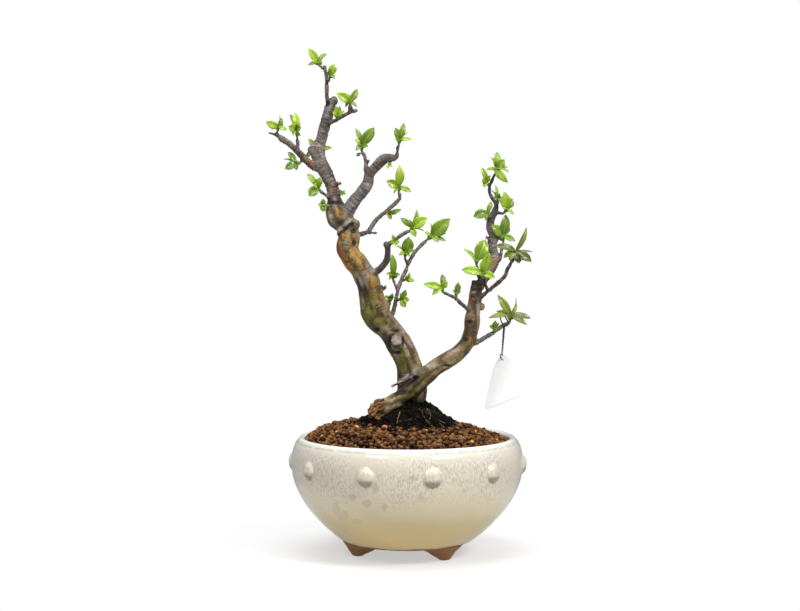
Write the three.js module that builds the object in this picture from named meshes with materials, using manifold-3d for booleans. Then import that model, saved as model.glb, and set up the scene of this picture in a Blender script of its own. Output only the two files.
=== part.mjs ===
// A Chinese quince grown as a bonsai, in its round glazed pot. Millimetres, +Z up.
// +X is the viewer's right and +Y points away from the viewer.
// The feet stand on z = 0, and the origin is under the middle of the whole outline.
import * as THREE from "three";
import { ConvexGeometry } from "three/addons/geometries/ConvexGeometry.js";
import { mergeVertices } from "three/addons/utils/BufferGeometryUtils.js";
import Module from "manifold-3d";

const wasm = await Module();
wasm.setup();

// The tree is laid out on a front view: u runs across and v runs down, both in grid steps,
// and y is the depth in millimetres. A step is GRID millimetres at the pot's axis.
const GRID = 0.88;
const EYE_U = 407.2;
const EYE_V = 214;
const EYE_Z = 300;
const EYE_DISTANCE = 1600;
const POT_X = 6.8;

// The gap that neighbouring pieces keep.
const GAP = 0.3;

// The pot, as radius and height, round its axis.
const POT_SEGMENTS = 40;
const POT_OUTSIDE = [
  [9, 11.5],
  [53, 11.5],
  [58.4, 13.8],
  [69.4, 22.4],
  [79, 31.8],
  [88.6, 43.2],
  [96.8, 57.6],
  [100.8, 69],
  [102, 81],
  [101.2, 91],
  [98.6, 99],
  [95, 103],
];
const POT_INSIDE = [
  [91.8, 104.1],
  [90, 102.4],
  [90.6, 99.6],
  [95.2, 87],
  [94.6, 70],
  [86, 47.6],
  [68, 28],
  [50, 17.6],
  [9, 17.6],
];
const POT_FLOOR = 17.6;

// Ten domed studs round the shoulder. Angles are from the side toward the viewer, + to the right.
const STUD_Z = 82.5;
const STUD_RADIUS = 6.8;
const STUD_PROUD = 4.5;
const STUD_ANGLES = [-95, -54, -18.5, 12.5, 45.5, 83, 119.4, 155.8, 192.2, 228.6];

// Three feet. Each section: height, distance of its middle from the axis, half length, half width.
const FOOT_ANGLES = [-164, -44, -284];
const FOOT_SECTIONS = [
  [0, 44.6, 4.2, 4.2],
  [1.1, 45.2, 5.2, 5.4],
  [5.2, 41.4, 11.8, 10.2],
  [9, 39.4, 16, 16.4],
  [13.5, 37, 21.5, 23],
];

// The plastic mesh over the drainage hole.
const SCREEN_SIDE = 32;
const SCREEN_THICKNESS = 1;
const SCREEN_HOLES = 3;
const SCREEN_BAR = 2.4;

// The bed of soil: height by distance from the pot's axis, how much higher it is heaped
// on the left than in front, and the height of its grains.
const SOIL_TOP = [
  [90, 100.4],
  [86, 103],
  [80, 106],
  [74, 108],
  [66, 109.8],
  [58, 111.3],
  [49, 112.9],
  [40, 114],
  [24, 115],
];
const SOIL_LEAN = 2.6;
const SOIL_GRAIN = 0.9;
const SOIL_FLOOR = 19.1;

// The root ball: middle on the front view, reach by bearing, and height by share of the reach.
const BALL_MIDDLE = [404.4, 425, -5];
const BALL_REACH = 40;
const BALL_HEIGHTS = [
  [1.05, 112],
  [0.93, 117.6],
  [0.77, 122],
  [0.63, 127.2],
  [0.49, 133],
];
const BALL_FLOOR = 104;

// The wood, one limb a list, each point as u, v, y and half thickness in grid steps.
// sides is the number of faces round it, step the length of one, ribs the depth of its flutes.
const LIMBS = [
  {
    name: "main trunk",
    sides: 14,
    step: 8.5,
    ribs: 0.05,
    points: [
      [410, 450, 8, 7],
      [410.5, 424, 7, 15],
      [410.5, 404, 6, 16.6],
      [411.2, 388, 6, 14.4],
      [408.6, 366, 6, 12.2],
      [400.8, 347.5, 5, 12.9],
      [389.6, 330, 4, 11.6],
      [378.4, 317, 3, 14.2],
      [374.2, 305.5, 1, 13.4],
      [370.3, 290, 0, 11.3],
      [367.2, 279, -2, 11.6],
      [359.2, 265.7, -3, 10.4],
      [351.3, 256, -2, 10.6],
      [348, 248, -1, 11.1],
      [349.2, 237.4, 0, 10.9],
      [348, 228.5, 1, 10],
      [339.2, 217, 2, 13],
      [335.5, 206, 4, 8.6],
      [334, 199, 4, 6.4],
    ],
  },
  {
    name: "upper left limb",
    sides: 9,
    step: 7,
    ribs: 0.05,
    points: [
      [335.2, 206, 4, 6.8],
      [332.9, 190, 5, 6.5],
      [329.2, 180, 6, 6.4],
      [323.4, 169, 8, 6.9],
      [319.6, 160, 9, 6.6],
      [317.8, 151, 10, 7.2],
      [321.2, 140.6, 11, 5.4],
      [325.8, 124.7, 12, 5.9],
      [330.2, 108, 12, 5.7],
      [332.2, 101, 12, 4.4],
    ],
  },
  {
    name: "top leader",
    sides: 5,
    step: 7,
    ribs: 0.05,
    points: [
      [328.6, 108, 11, 2.6],
      [327.2, 96, 10, 2.1],
      [327, 81.5, 8, 2],
      [325.4, 71, 8, 2],
      [321.8, 68, 8, 1.5],
    ],
  },
  {
    name: "top leader's tip",
    sides: 5,
    step: 6,
    ribs: 0,
    points: [
      [325.6, 73, 8, 1.6],
      [325.2, 66.4, 8, 1.2],
    ],
  },
  {
    name: "spur of spray 2",
    sides: 5,
    step: 6,
    ribs: 0,
    points: [
      [327, 84, 8, 1.5],
      [329.5, 80, 6, 1.3],
    ],
  },
  {
    name: "upper right branchlet",
    sides: 5,
    step: 7,
    ribs: 0.05,
    points: [
      [327, 124, 10, 2.6],
      [335, 121.4, 8, 2.2],
      [342.9, 116.8, 7, 2],
      [350, 113.4, 7, 2],
      [357.4, 110.8, 8, 1.6],
    ],
  },
  {
    name: "spur of spray 3",
    sides: 5,
    step: 6,
    ribs: 0,
    points: [
      [350.4, 113.8, 7, 2.2],
      [350.5, 106.6, 6, 2.4],
    ],
  },
  {
    name: "spur of spray 4",
    sides: 5,
    step: 6,
    ribs: 0,
    points: [
      [335, 122, 8, 1.5],
      [337.4, 119.8, 4, 1.3],
    ],
  },
  {
    name: "left branch",
    sides: 6,
    step: 6.5,
    ribs: 0.04,
    points: [
      [320, 169, 8, 4.4],
      [313, 166.4, 6, 3.8],
      [304.6, 158.6, 2, 3.5],
      [298, 152, -1, 3.3],
      [288.7, 143.4, -6, 3.1],
      [281.4, 138.6, -10, 2.9],
      [277.6, 134.8, -12, 1.8],
      [277.8, 132, -12, 1.4],
    ],
  },
  {
    name: "left branch's dead end",
    sides: 5,
    step: 6,
    ribs: 0,
    points: [
      [279, 137, -11, 1.6],
      [274, 134.6, -12, 1.4],
      [269.6, 133.4, -13, 1.1],
    ],
  },
  {
    name: "twig of spray 6",
    sides: 5,
    step: 6,
    ribs: 0.08,
    points: [
      [298.6, 153, -1, 1.7],
      [298.4, 145.6, -1, 1.7],
      [297.6, 138.6, -2, 1.4],
    ],
  },
  {
    name: "spur of spray 7",
    sides: 5,
    step: 6,
    ribs: 0,
    points: [
      [303.6, 159, 2, 1.6],
      [300.4, 163.2, 0, 1.4],
    ],
  },
  {
    name: "spur of spray 8",
    sides: 5,
    step: 6,
    ribs: 0,
    points: [
      [318, 151.4, 12, 1.8],
      [316.4, 150.6, 21, 1.4],
    ],
  },
  {
    name: "spur of spray 9",
    sides: 5,
    step: 6,
    ribs: 0.08,
    points: [
      [331, 199.6, 4, 1.9],
      [324.4, 194.2, 0, 1.6],
      [320.4, 191.2, -1, 1.4],
    ],
  },
  {
    name: "spur of spray 10",
    sides: 5,
    step: 6,
    ribs: 0,
    points: [
      [332, 207, 2, 2],
      [326.2, 205.2, -3, 1.4],
    ],
  },
  {
    name: "middle limb",
    sides: 8,
    step: 6,
    ribs: 0.05,
    points: [
      [344, 222, 0, 7],
      [348.2, 211.6, -2, 6.3],
      [355, 200.4, -5, 6.1],
      [362.4, 191.6, -7, 5.9],
      [367.4, 184.6, -9, 5.6],
      [369.4, 175.6, -11, 5],
      [376, 166.8, -13, 4.9],
      [384, 159.6, -16, 4.9],
      [390.6, 158.6, -18, 4.1],
      [396, 157.4, -19, 2.9],
      [397.4, 152.6, -20, 1.5],
      [397.6, 148.4, -20, 1.7],
      [398.8, 145.2, -20, 1.3],
    ],
  },
  {
    name: "twig of spray 12",
    sides: 5,
    step: 6,
    ribs: 0.06,
    points: [
      [367.4, 177, -11, 3],
      [366, 170, -12, 2.4],
      [365.6, 162, -12, 1.8],
      [364.2, 155.4, -12, 1.5],
      [362.2, 152, -12, 1.5],
    ],
  },
  {
    name: "stub on the twig of spray 12",
    sides: 5,
    step: 5,
    ribs: 0,
    points: [
      [366.4, 165, -12, 1.6],
      [369.6, 160.2, -13, 1],
    ],
  },
  {
    name: "dark bud under spray 12",
    sides: 6,
    step: 2,
    ribs: 0,
    points: [
      [364, 155, -12, 0.7],
      [360.8, 153.4, -13, 0.7],
      [358.8, 154.6, -14, 2],
      [357.8, 156.8, -14, 1],
    ],
  },
  {
    name: "knobby branch",
    sides: 6,
    step: 6,
    ribs: 0.08,
    points: [
      [353, 236, 4, 3],
      [361.5, 234, 8, 2.6],
      [368, 231.6, 12, 2.3],
      [371.8, 226.6, 14, 2.2],
      [374.8, 221.5, 16, 2.3],
      [380.6, 215.7, 18, 2.2],
      [385.7, 212, 21, 2.3],
      [391.4, 206.8, 25, 2.2],
      [396.5, 202.3, 28, 2.1],
      [399.6, 198, 31, 1.8],
      [399, 192.6, 32, 1.5],
    ],
  },
  {
    name: "knobby branch's dead end",
    sides: 5,
    step: 6,
    ribs: 0,
    points: [
      [367, 232.4, 12, 1.6],
      [376.8, 233, 9, 0.9],
    ],
  },
  {
    name: "spur of spray 14",
    sides: 5,
    step: 5,
    ribs: 0,
    points: [
      [385, 212.4, 21, 1.6],
      [387.8, 213.8, 18, 1.2],
    ],
  },
  {
    name: "front branch",
    sides: 6,
    step: 6,
    ribs: 0.05,
    points: [
      [369, 274, -4, 4],
      [377.4, 270.8, -9, 3.5],
      [382.8, 266, -14, 3.3],
      [387, 259.6, -18, 3.2],
      [387.8, 252, -22, 2.9],
      [387.9, 245.2, -25, 2.9],
      [391.6, 242.2, -27, 2.2],
      [396.5, 238.7, -29, 1.9],
      [402.9, 234.2, -30, 1.9],
      [409.8, 230.8, -31, 1.4],
    ],
  },
  {
    name: "spur of spray 15",
    sides: 5,
    step: 5,
    ribs: 0,
    points: [
      [391.6, 243, -27, 1.4],
      [393.6, 242.4, -30.5, 1.1],
    ],
  },
  {
    name: "back branch",
    sides: 6,
    step: 7,
    ribs: 0.05,
    points: [
      [385.6, 320, 5, 3.4],
      [391.8, 314.6, 9, 2.7],
      [394.4, 307, 12, 2.3],
      [396.2, 298, 15, 2.3],
      [398.3, 288.5, 18, 2.3],
      [401.5, 279.6, 22, 2.2],
      [405.9, 270, 26, 2],
      [408.3, 263.8, 28, 1.8],
      [413.4, 254.2, 30, 1.7],
      [419.7, 246.6, 32, 1.8],
      [426, 240.6, 34, 1.9],
    ],
  },
  {
    name: "twig of spray 17",
    sides: 5,
    step: 6,
    ribs: 0,
    points: [
      [407.6, 265.6, 27.5, 1.5],
      [405, 258, 26, 1.5],
    ],
  },
  {
    name: "twig of spray 19",
    sides: 5,
    step: 6,
    ribs: 0,
    points: [
      [397.4, 291.4, 17, 1.6],
      [395, 284.6, 18, 1.3],
      [393, 279.6, 19, 1.4],
    ],
  },
  {
    name: "spur of spray 20",
    sides: 5,
    step: 5,
    ribs: 0,
    points: [
      [402, 280, 22, 1.5],
      [405.2, 279.6, 19, 1.2],
    ],
  },
  {
    name: "spur of spray 21",
    sides: 5,
    step: 5,
    ribs: 0,
    points: [
      [396.4, 299.4, 15, 1.6],
      [399.6, 299.4, 11, 1.3],
    ],
  },
  {
    name: "twig of spray 22",
    sides: 5,
    step: 6,
    ribs: 0,
    points: [
      [387.6, 313, 3, 1.8],
      [388.8, 308, 5, 1.3],
      [389.6, 302, 6, 1.2],
    ],
  },
  {
    name: "second trunk",
    sides: 11,
    step: 8.5,
    ribs: 0.06,
    points: [
      [372.8, 411.8, -23, 5.8],
      [380, 408.4, -20, 8.2],
      [391, 404.4, -14.5, 8.7],
      [406.6, 395.4, -12.4, 9],
      [420, 382, -18, 8.4],
      [432, 371, -21, 8],
      [445, 361.6, -22, 7.7],
      [457.4, 352.8, -21, 7.6],
      [466.4, 343.4, -20, 7.4],
      [470.8, 332, -19, 7],
      [472.6, 318, -18, 6.6],
      [473.8, 304, -17, 6.3],
      [475.8, 291.4, -16, 6],
      [477.4, 281, -16, 5.4],
    ],
  },
  {
    name: "dead stub across the main trunk",
    sides: 5,
    step: 7,
    ribs: 0.06,
    points: [
      [424, 368, -22, 2.6],
      [413, 376.4, -25, 1.9],
      [402, 382, -26, 1.5],
      [391.8, 386.6, -26, 1.2],
    ],
  },
  {
    name: "right leader",
    sides: 7,
    step: 6,
    ribs: 0.06,
    points: [
      [474, 296, -14, 5.4],
      [480.6, 283, -9, 5.4],
      [489, 271, -4, 5.3],
      [493.4, 260.6, 0, 5.2],
      [492.4, 249.6, 2, 4.8],
      [491.6, 243.6, 3, 4.6],
      [493.6, 236.8, 4, 4.7],
      [490.2, 227.4, 5, 4.1],
      [490.6, 220.6, 5, 3.7],
      [494.2, 211.6, 4, 3.2],
      [496.2, 204.6, 2, 2.5],
      [491.8, 198.4, 0, 1.7],
      [489.4, 193.2, -2, 1.6],
      [489.5, 186, -4, 1.6],
      [492.2, 179, -6, 1.6],
      [495.2, 173.6, -8, 1.4],
    ],
  },
  {
    name: "twig of spray 25",
    sides: 5,
    step: 7,
    ribs: 0,
    points: [
      [480, 287, -12, 1.8],
      [478.4, 276, -19, 1.6],
      [476.6, 265.4, -22, 1.4],
    ],
  },
  {
    name: "spur of spray 27",
    sides: 5,
    step: 5,
    ribs: 0,
    points: [
      [489.6, 187, -4, 1.4],
      [487.6, 185, -6, 1.2],
    ],
  },
  {
    name: "spur of spray 28",
    sides: 5,
    step: 5,
    ribs: 0,
    points: [
      [496, 206, 2, 1.6],
      [497.4, 202, 4, 1.2],
    ],
  },
  {
    name: "spur of spray 29",
    sides: 5,
    step: 5,
    ribs: 0.06,
    points: [
      [494.4, 212, 4, 2.2],
      [499.6, 213.2, 1, 1.7],
      [503.4, 213.2, -1, 1.3],
    ],
  },
  {
    name: "spur of spray 30",
    sides: 5,
    step: 5,
    ribs: 0,
    points: [
      [490.8, 220, 4, 1.6],
      [488, 215.2, 0, 1.3],
    ],
  },
  {
    name: "twig of spray 31",
    sides: 5,
    step: 6,
    ribs: 0.06,
    points: [
      [493.8, 264, 0, 2.2],
      [499.6, 259.6, 2, 1.9],
      [501, 253, 3, 1.6],
      [503, 242.6, 3, 1.3],
    ],
  },
  {
    name: "right twig",
    sides: 5,
    step: 7,
    ribs: 0.05,
    points: [
      [472, 302.6, -18, 3.2],
      [479, 298.4, -23, 2.3],
      [489.6, 289.7, -28, 2],
      [497.9, 282.7, -34, 2],
      [504.9, 275.7, -39, 1.9],
      [507.7, 268.7, -41, 1.8],
      [511.4, 262, -44, 1.6],
      [514.6, 256.8, -45, 1.4],
    ],
  },
  {
    name: "twig of spray 24",
    sides: 5,
    step: 6,
    ribs: 0,
    points: [
      [487.6, 291.6, -27, 1.5],
      [485.4, 285.4, -32, 1.4],
      [483.4, 278.8, -36, 1.4],
    ],
  },
  {
    name: "left twig",
    sides: 5,
    step: 7,
    ribs: 0.05,
    points: [
      [470, 311, -20, 2.4],
      [463.4, 305.6, -27, 1.9],
      [455.8, 298.4, -34, 1.9],
      [449, 294.8, -38, 1.6],
      [443.2, 292.4, -40, 1.4],
    ],
  },
  {
    name: "spur of spray 33",
    sides: 5,
    step: 5,
    ribs: 0,
    points: [
      [455.6, 299, -34, 1.4],
      [456.1, 295.8, -35, 1.2],
    ],
  },
  {
    name: "tagged twig",
    sides: 6,
    step: 7,
    ribs: 0.05,
    points: [
      [468, 345, -18, 3.6],
      [476.5, 342.4, -13, 2.5],
      [482.3, 339.4, -10, 2.3],
      [491.4, 333.7, -6, 2.2],
      [502, 326.2, 0, 2],
      [509.4, 322.2, 4, 1.6],
    ],
  },
  {
    name: "spur of spray 35",
    sides: 5,
    step: 5,
    ribs: 0,
    points: [
      [493.4, 333.4, -5, 1.6],
      [494, 331.8, -7.5, 1.2],
    ],
  },
  {
    name: "dark bud on the main trunk",
    sides: 6,
    step: 2.5,
    ribs: 0,
    points: [
      [376, 289, -4, 1.8],
      [381.8, 288.6, -6, 1.8],
      [385.8, 289.4, -7, 0.6],
    ],
  },
];

// Knots and cut knobs that stand out of a limb: u, v, y and half height in grid steps.
const KNOBS = [
  [312, 150, 8, 4.5],
  [334.4, 101.6, 11, 4.2],
  [354.6, 224.4, -4, 5.2],
  [341.4, 233, -4, 5.2],
  [367.4, 187.6, -13, 4.2],
  [386.4, 305, -5, 3.6],
  [396.4, 341.6, -7, 6.6],
  [497, 236.4, 3, 3.4],
  [481, 306.6, -15, 3.2],
  [473.6, 340.4, -18, 4.2],
  [377.8, 402.4, -20, 4],
  [371.4, 414.8, -24, 3.4],
  [385.8, 244.4, -25, 2.8],
];

// The leaf clusters. bud is where a cluster meets its twig and heart where its blades part.
// A blade: its tip as u and v, the tip's depth past the heart in mm, its width in grid steps,
// and how far its upper face is turned from the viewer in degrees.
const SPRAYS = [
  {
    bud: [321, 67.6, 8],
    heart: [318.6, 64, 8],
    blades: [
      [309.2, 49.6, -3, 7, 10],
      [327, 54.7, 5, 4.8, 30],
      [308.5, 66.3, 5, 4.4, 40],
      [312, 60.4, -5, 3.6, 20],
    ],
  },
  {
    bud: [329.8, 79.4, 6],
    heart: [331, 76, 5],
    blades: [
      [334.8, 65.2, -2, 7.8, 15],
      [335.2, 79.8, -4, 3.8, 40],
      [329.2, 69.6, -4, 3.6, 30],
    ],
  },
  {
    bud: [350.4, 106, 6],
    heart: [350, 102.4, 6],
    blades: [
      [337.1, 94.1, -3, 8.4, 12],
      [357.5, 90.2, 3, 6.4, 20],
      [356.9, 107, -4, 3.8, 30],
      [345.6, 107.8, 3, 3.6, 40],
      [348.2, 94.6, 5, 3.2, 40],
    ],
  },
  {
    bud: [337.6, 119.2, 3],
    heart: [337.6, 116, 1],
    blades: [
      [336.2, 106.4, -2, 5.4, 15],
      [340.4, 107, 3, 4.4, 40],
      [344.5, 112.1, -4, 4, 20],
      [332.8, 112.6, -4, 3.6, 25],
    ],
  },
  {
    bud: [278, 131.4, -12],
    heart: [279, 127.8, -12],
    blades: [
      [266.7, 122.7, -3, 7.6, 8],
      [282.5, 118.7, 2, 4.6, 25],
      [280.4, 115.6, 5, 2.2, 50],
      [287.2, 130.4, -3, 4.4, 25],
      [283.6, 125, 6, 4, 30],
    ],
  },
  {
    bud: [297.6, 138, -2],
    heart: [296.6, 130.4, -2],
    blades: [
      [295.7, 113, 2, 7.6, 15],
      [290.4, 114.4, 6, 5.4, 40],
      [289, 126.8, -7, 8, 10],
      [301.2, 127.6, -6, 8, 15],
      [300.6, 124.2, 5, 4, 40],
      [293.4, 135.8, -5, 3.6, 20],
      [301, 136.8, -3, 2.4, 30],
    ],
  },
  {
    bud: [300, 163.6, 0],
    heart: [296.8, 163, -1],
    blades: [
      [288.5, 152.2, 3, 5.6, 20],
      [283.7, 159, 4, 2.4, 50],
      [285.4, 169.3, -3, 7.4, 12],
      [296.8, 170.2, -5, 5.2, 20],
    ],
  },
  {
    bud: [316.3, 150.4, 21.6],
    heart: [316, 150, 24],
    blades: [
      [309.2, 139, 3, 5.2, 10],
      [305.9, 158.5, 2, 4.8, 20],
      [332.3, 148, 2, 4.8, 10],
    ],
  },
  {
    bud: [320, 190.8, -1],
    heart: [317.8, 187, -2],
    blades: [
      [307.4, 173.6, 2, 5.8, 20],
      [319.8, 177.8, -3, 7.4, 12],
      [309.4, 196.4, -4, 9.2, 8],
      [314, 185.8, -7, 5, 30],
    ],
  },
  {
    bud: [325.8, 205, -3.4],
    heart: [323.4, 204.4, -5],
    blades: [
      [318.4, 205.4, -2, 4.4, 20],
      [323.2, 198.8, -2, 4.4, 20],
      [324, 211.8, -3, 6.2, 15],
    ],
  },
  {
    bud: [399, 144.6, -20],
    heart: [399.6, 140.4, -20],
    blades: [
      [403.9, 123.5, 2, 6, 15],
      [395.1, 128.1, -3, 6.4, 12],
      [411.5, 139.4, -2, 4.2, 30],
      [407.6, 133, 4, 2.4, 50],
      [395.2, 140, -5, 3.8, 30],
    ],
  },
  {
    bud: [361.9, 151.4, -12],
    heart: [361.6, 146.2, -12],
    blades: [
      [374.4, 128, -2, 9.8, 8],
      [356, 128.8, 4, 5, 25],
      [355.2, 139.4, -3, 3.8, 30],
      [356.2, 150.6, -5, 4.8, 20],
      [368, 146.6, -5, 5.4, 25],
      [368.6, 141.4, 3, 2.4, 50],
    ],
  },
  {
    bud: [398.9, 191.8, 32],
    heart: [398.9, 187.2, 32],
    blades: [
      [399.6, 165.8, -2, 8.6, 12],
      [386.7, 180.8, -4, 8, 8],
      [411.3, 191.8, -2, 5.4, 15],
      [392, 186.8, 5, 2.8, 30],
      [393.4, 193.4, -4, 2.6, 30],
    ],
  },
  {
    bud: [388, 214, 17.6],
    heart: [389.8, 214.2, 15],
    blades: [
      [401.2, 209.6, -3, 4.8, 20],
      [391.2, 219, -3, 4.4, 25],
      [392.6, 211.6, -5, 3.2, 30],
    ],
  },
  {
    bud: [393.7, 242.2, -31],
    heart: [394, 241.4, -33],
    blades: [
      [392.4, 234.6, -2, 3.4, 20],
      [399.6, 242.2, -2, 3.2, 30],
      [397.6, 247, -3, 3.2, 20],
    ],
  },
  {
    bud: [410.4, 230.4, -31],
    heart: [412.2, 227.4, -31],
    blades: [
      [400.4, 217.9, 2, 5.6, 15],
      [417.3, 209.6, 3, 5, 30],
      [427.2, 218, -3, 10, 12],
      [415.6, 236.8, -4, 5.6, 10],
      [424.6, 231, 3, 2, 40],
      [409.6, 219.8, -4, 2.6, 40],
    ],
  },
  {
    bud: [404.9, 257.4, 26],
    heart: [405.4, 252, 26],
    blades: [
      [409.1, 236.7, -3, 11.4, 10],
      [399.2, 254.8, -3, 4.4, 25],
      [415.4, 250.8, -4, 4, 30],
      [396.6, 245.2, 3, 2.6, 40],
      [409.8, 256.4, -4, 3.2, 30],
    ],
  },
  {
    bud: [426.6, 240, 34],
    heart: [431.6, 236.2, 33],
    blades: [
      [449.4, 218.7, -4, 13.6, 8],
      [445.9, 240.8, -3, 4, 25],
      [438.6, 241.6, -6, 5, 20],
      [431, 223.2, 3, 3, 35],
      [424.8, 232, 3, 4, 30],
      [446.2, 233, 2, 3.2, 20],
    ],
  },
  {
    bud: [392.9, 279, 19],
    heart: [392.9, 275.2, 19],
    blades: [
      [392.2, 254.1, -2, 6.8, 15],
      [386.6, 273, -3, 3.6, 30],
      [400, 274.2, -3, 4, 25],
      [389, 279.4, -3, 2.8, 30],
    ],
  },
  {
    bud: [405.5, 279.5, 18.6],
    heart: [407, 278.8, 17],
    blades: [
      [414.4, 281.6, -3, 4, 20],
      [409.4, 272.6, -2, 3.4, 35],
      [411, 276.6, 3, 3, 30],
    ],
  },
  {
    bud: [399.9, 299.4, 10.6],
    heart: [401.4, 299, 9],
    blades: [
      [405.8, 289.9, -2, 5.4, 15],
      [409.4, 300, -3, 6.2, 10],
      [405.4, 307.4, -3, 6.2, 12],
      [400.4, 293.4, -4, 4.4, 30],
    ],
  },
  {
    bud: [389.7, 301.4, 6],
    heart: [389.8, 299, 5],
    blades: [
      [383.6, 297.4, -3, 5, 20],
      [392.6, 293.6, -3, 4.8, 25],
    ],
  },
  {
    bud: [514.9, 256.2, -45],
    heart: [515.6, 251, -45],
    blades: [
      [494, 245.6, -3, 6.8, 35],
      [526.8, 227.2, 3, 5, 20],
      [531.4, 261.4, -4, 8, 12],
      [503.4, 257.4, 3, 5.4, 30],
      [509, 260, -5, 6.6, 20],
      [532.7, 251.4, 3, 1.6, 30],
    ],
  },
  {
    bud: [483.2, 278, -36],
    heart: [482.6, 273, -36],
    blades: [
      [461.6, 269.6, -3, 8.6, 20],
      [489.4, 253, -2, 9.8, 12],
      [495.1, 277.2, -4, 6.6, 12],
      [480.6, 262.4, 5, 5, 30],
      [488.6, 265.8, 5, 4.4, 40],
    ],
  },
  {
    bud: [476.5, 264.6, -22],
    heart: [476.6, 260.4, -22],
    blades: [
      [484.8, 239.6, 3, 13.6, 12],
      [463.9, 248.6, 2, 3.8, 35],
      [470.6, 254.6, -3, 4.4, 30],
    ],
  },
  {
    bud: [495.4, 172.8, -8],
    heart: [495.8, 168.6, -8],
    blades: [
      [497, 151.8, 3, 7.4, 15],
      [504.5, 160, -3, 8.8, 10],
      [486, 169.8, 3, 3.2, 25],
      [507.4, 167.8, -4, 4, 30],
      [507, 182.8, -4, 6.6, 10],
      [490.2, 157, 6, 2, 50],
      [508.9, 172.4, 4, 2.4, 40],
      [498, 178.8, -5, 3.2, 30],
    ],
  },
  {
    bud: [487.3, 184.6, -6.4],
    heart: [486.2, 181, -7],
    blades: [
      [480.9, 167.3, -2, 5, 15],
      [481.8, 180.4, -4, 4.6, 25],
      [490.6, 175.6, -5, 3.6, 30],
      [483.4, 187.6, -3, 4.6, 20],
    ],
  },
  {
    bud: [497.5, 201.4, 4.2],
    heart: [497.4, 198.2, 5],
    blades: [
      [495.4, 184.8, 3, 2.6, 20],
      [499.2, 193.6, -3, 3, 20],
      [491.6, 190.4, 5, 2.4, 40],
      [501.6, 197.8, 3, 2.8, 30],
    ],
  },
  {
    bud: [503.8, 213, -1.4],
    heart: [506.6, 209, -2],
    blades: [
      [504.2, 192.2, -3, 10.6, 12],
      [511.6, 198.6, 3, 8.2, 10],
      [497.8, 198.2, 4, 3.4, 20],
      [513.6, 214.7, -3, 3.4, 25],
      [501.6, 206.6, -4, 4, 30],
    ],
  },
  {
    bud: [487.8, 214.6, -0.6],
    heart: [486.8, 211.6, -2],
    blades: [
      [473.6, 216.6, -3, 8.8, 10],
      [491.2, 201.7, 2, 5, 15],
      [486, 220.8, -4, 3.8, 25],
    ],
  },
  {
    bud: [503.1, 241.8, 3],
    heart: [502.8, 235.6, 2],
    blades: [
      [491.8, 225, -4, 9.4, 12],
      [505.6, 214.8, -2, 9.4, 15],
      [509.4, 228, 4, 6.4, 30],
      [514.9, 241, -3, 5.6, 12],
      [498, 239.8, 4, 3.6, 30],
    ],
  },
  {
    bud: [442.7, 291.8, -40],
    heart: [442.4, 287.4, -40],
    blades: [
      [423.8, 284, -3, 6.8, 15],
      [442.1, 273.9, 3, 5.8, 20],
      [447.4, 281.8, -3, 6, 15],
      [432.2, 294.6, -4, 5, 20],
    ],
  },
  {
    bud: [456.2, 295.4, -35],
    heart: [456.5, 292.4, -35],
    blades: [
      [458.3, 282.2, -1, 5.8, 15],
      [460.8, 290.6, 3, 3, 30],
    ],
  },
  {
    bud: [509.8, 321.6, 4],
    heart: [510.6, 315, 4],
    blades: [
      [497.9, 295.1, -2, 7.4, 15],
      [488.8, 317.6, -7, 5.6, 40],
      [496.5, 311, 4, 5.6, 45],
      [531.2, 318.2, -2, 6.6, 40],
      [527, 324.4, -7, 6, 35],
      [517, 303.8, 4, 3.8, 25],
      [516.5, 297.2, 7, 1.6, 40],
    ],
  },
  {
    bud: [494.1, 331.4, -7.6],
    heart: [494.4, 328, -8],
    blades: [
      [495.4, 320.6, -1, 5.6, 12],
      [499.4, 322.8, 2, 3.8, 25],
      [489.8, 325.4, -2, 3.6, 25],
    ],
  },
];

// A withered flower under one cluster.
const DRY_FLOWER = {
  under: 23,
  bud: [517.6, 254.4, -49.4],
  heart: [518.4, 256.4, -51],
  blades: [
    [519, 263, -2, 6.4, 15],
    [522.8, 259.6, 2, 4.8, 30],
    [514.4, 259.6, -2, 4.4, 30],
  ],
};

const BLADE_THICKNESS = 0.7;
const BLADE_FOLD = 0.3;
const BLADE_ARCH = 0.1;
const BLADE_WAVE = 0.07;
const SLIM_BLADE = 3;
const LEAFLETS = 1;

// The card that hangs on a wire: outline across and down from its top, its hole, and its lie.
const TAG_OUTLINE = [
  [3, 0],
  [5.4, 2.2],
  [10.4, 10.4],
  [19.6, 44.5],
  [19.2, 46.8],
  [17, 47.5],
];
const TAG_THICKNESS = 0.7;
const TAG_HOLE_DOWN = 3.4;
const TAG_HOLE_RADIUS = 1.7;
const TAG_TOP = [502.2, 356.6, 1];
const TAG_ACROSS = [30.4, -20, 15];
const TAG_DOWN = [0, -28.5, -38];
const WIRE_RADIUS = 0.75;
const WIRE_LOOP = 5.2;
const WIRE_EYE = 2.7;

// A point of the front view in space.
function at(u, v, y) {
  const step = (GRID * (EYE_DISTANCE + y)) / EYE_DISTANCE;
  return new THREE.Vector3((u - EYE_U) * step + POT_X, y, EYE_Z - (v - EYE_V) * step);
}

// A number from 0 to 1 that depends only on n.
function chance(n) {
  const x = Math.sin(n * 12.9898 + 4.1414) * 43758.5453;
  return x - Math.floor(x);
}

// A smooth wave from -1 to 1 along t, with its own course for each seed.
function drift(t, seed) {
  const i = Math.floor(t);
  const f = t - i;
  const s = f * f * (3 - 2 * f);
  const a = chance(i + seed * 17.3);
  const b = chance(i + 1 + seed * 17.3);
  return 2 * (a + (b - a) * s) - 1;
}

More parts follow.
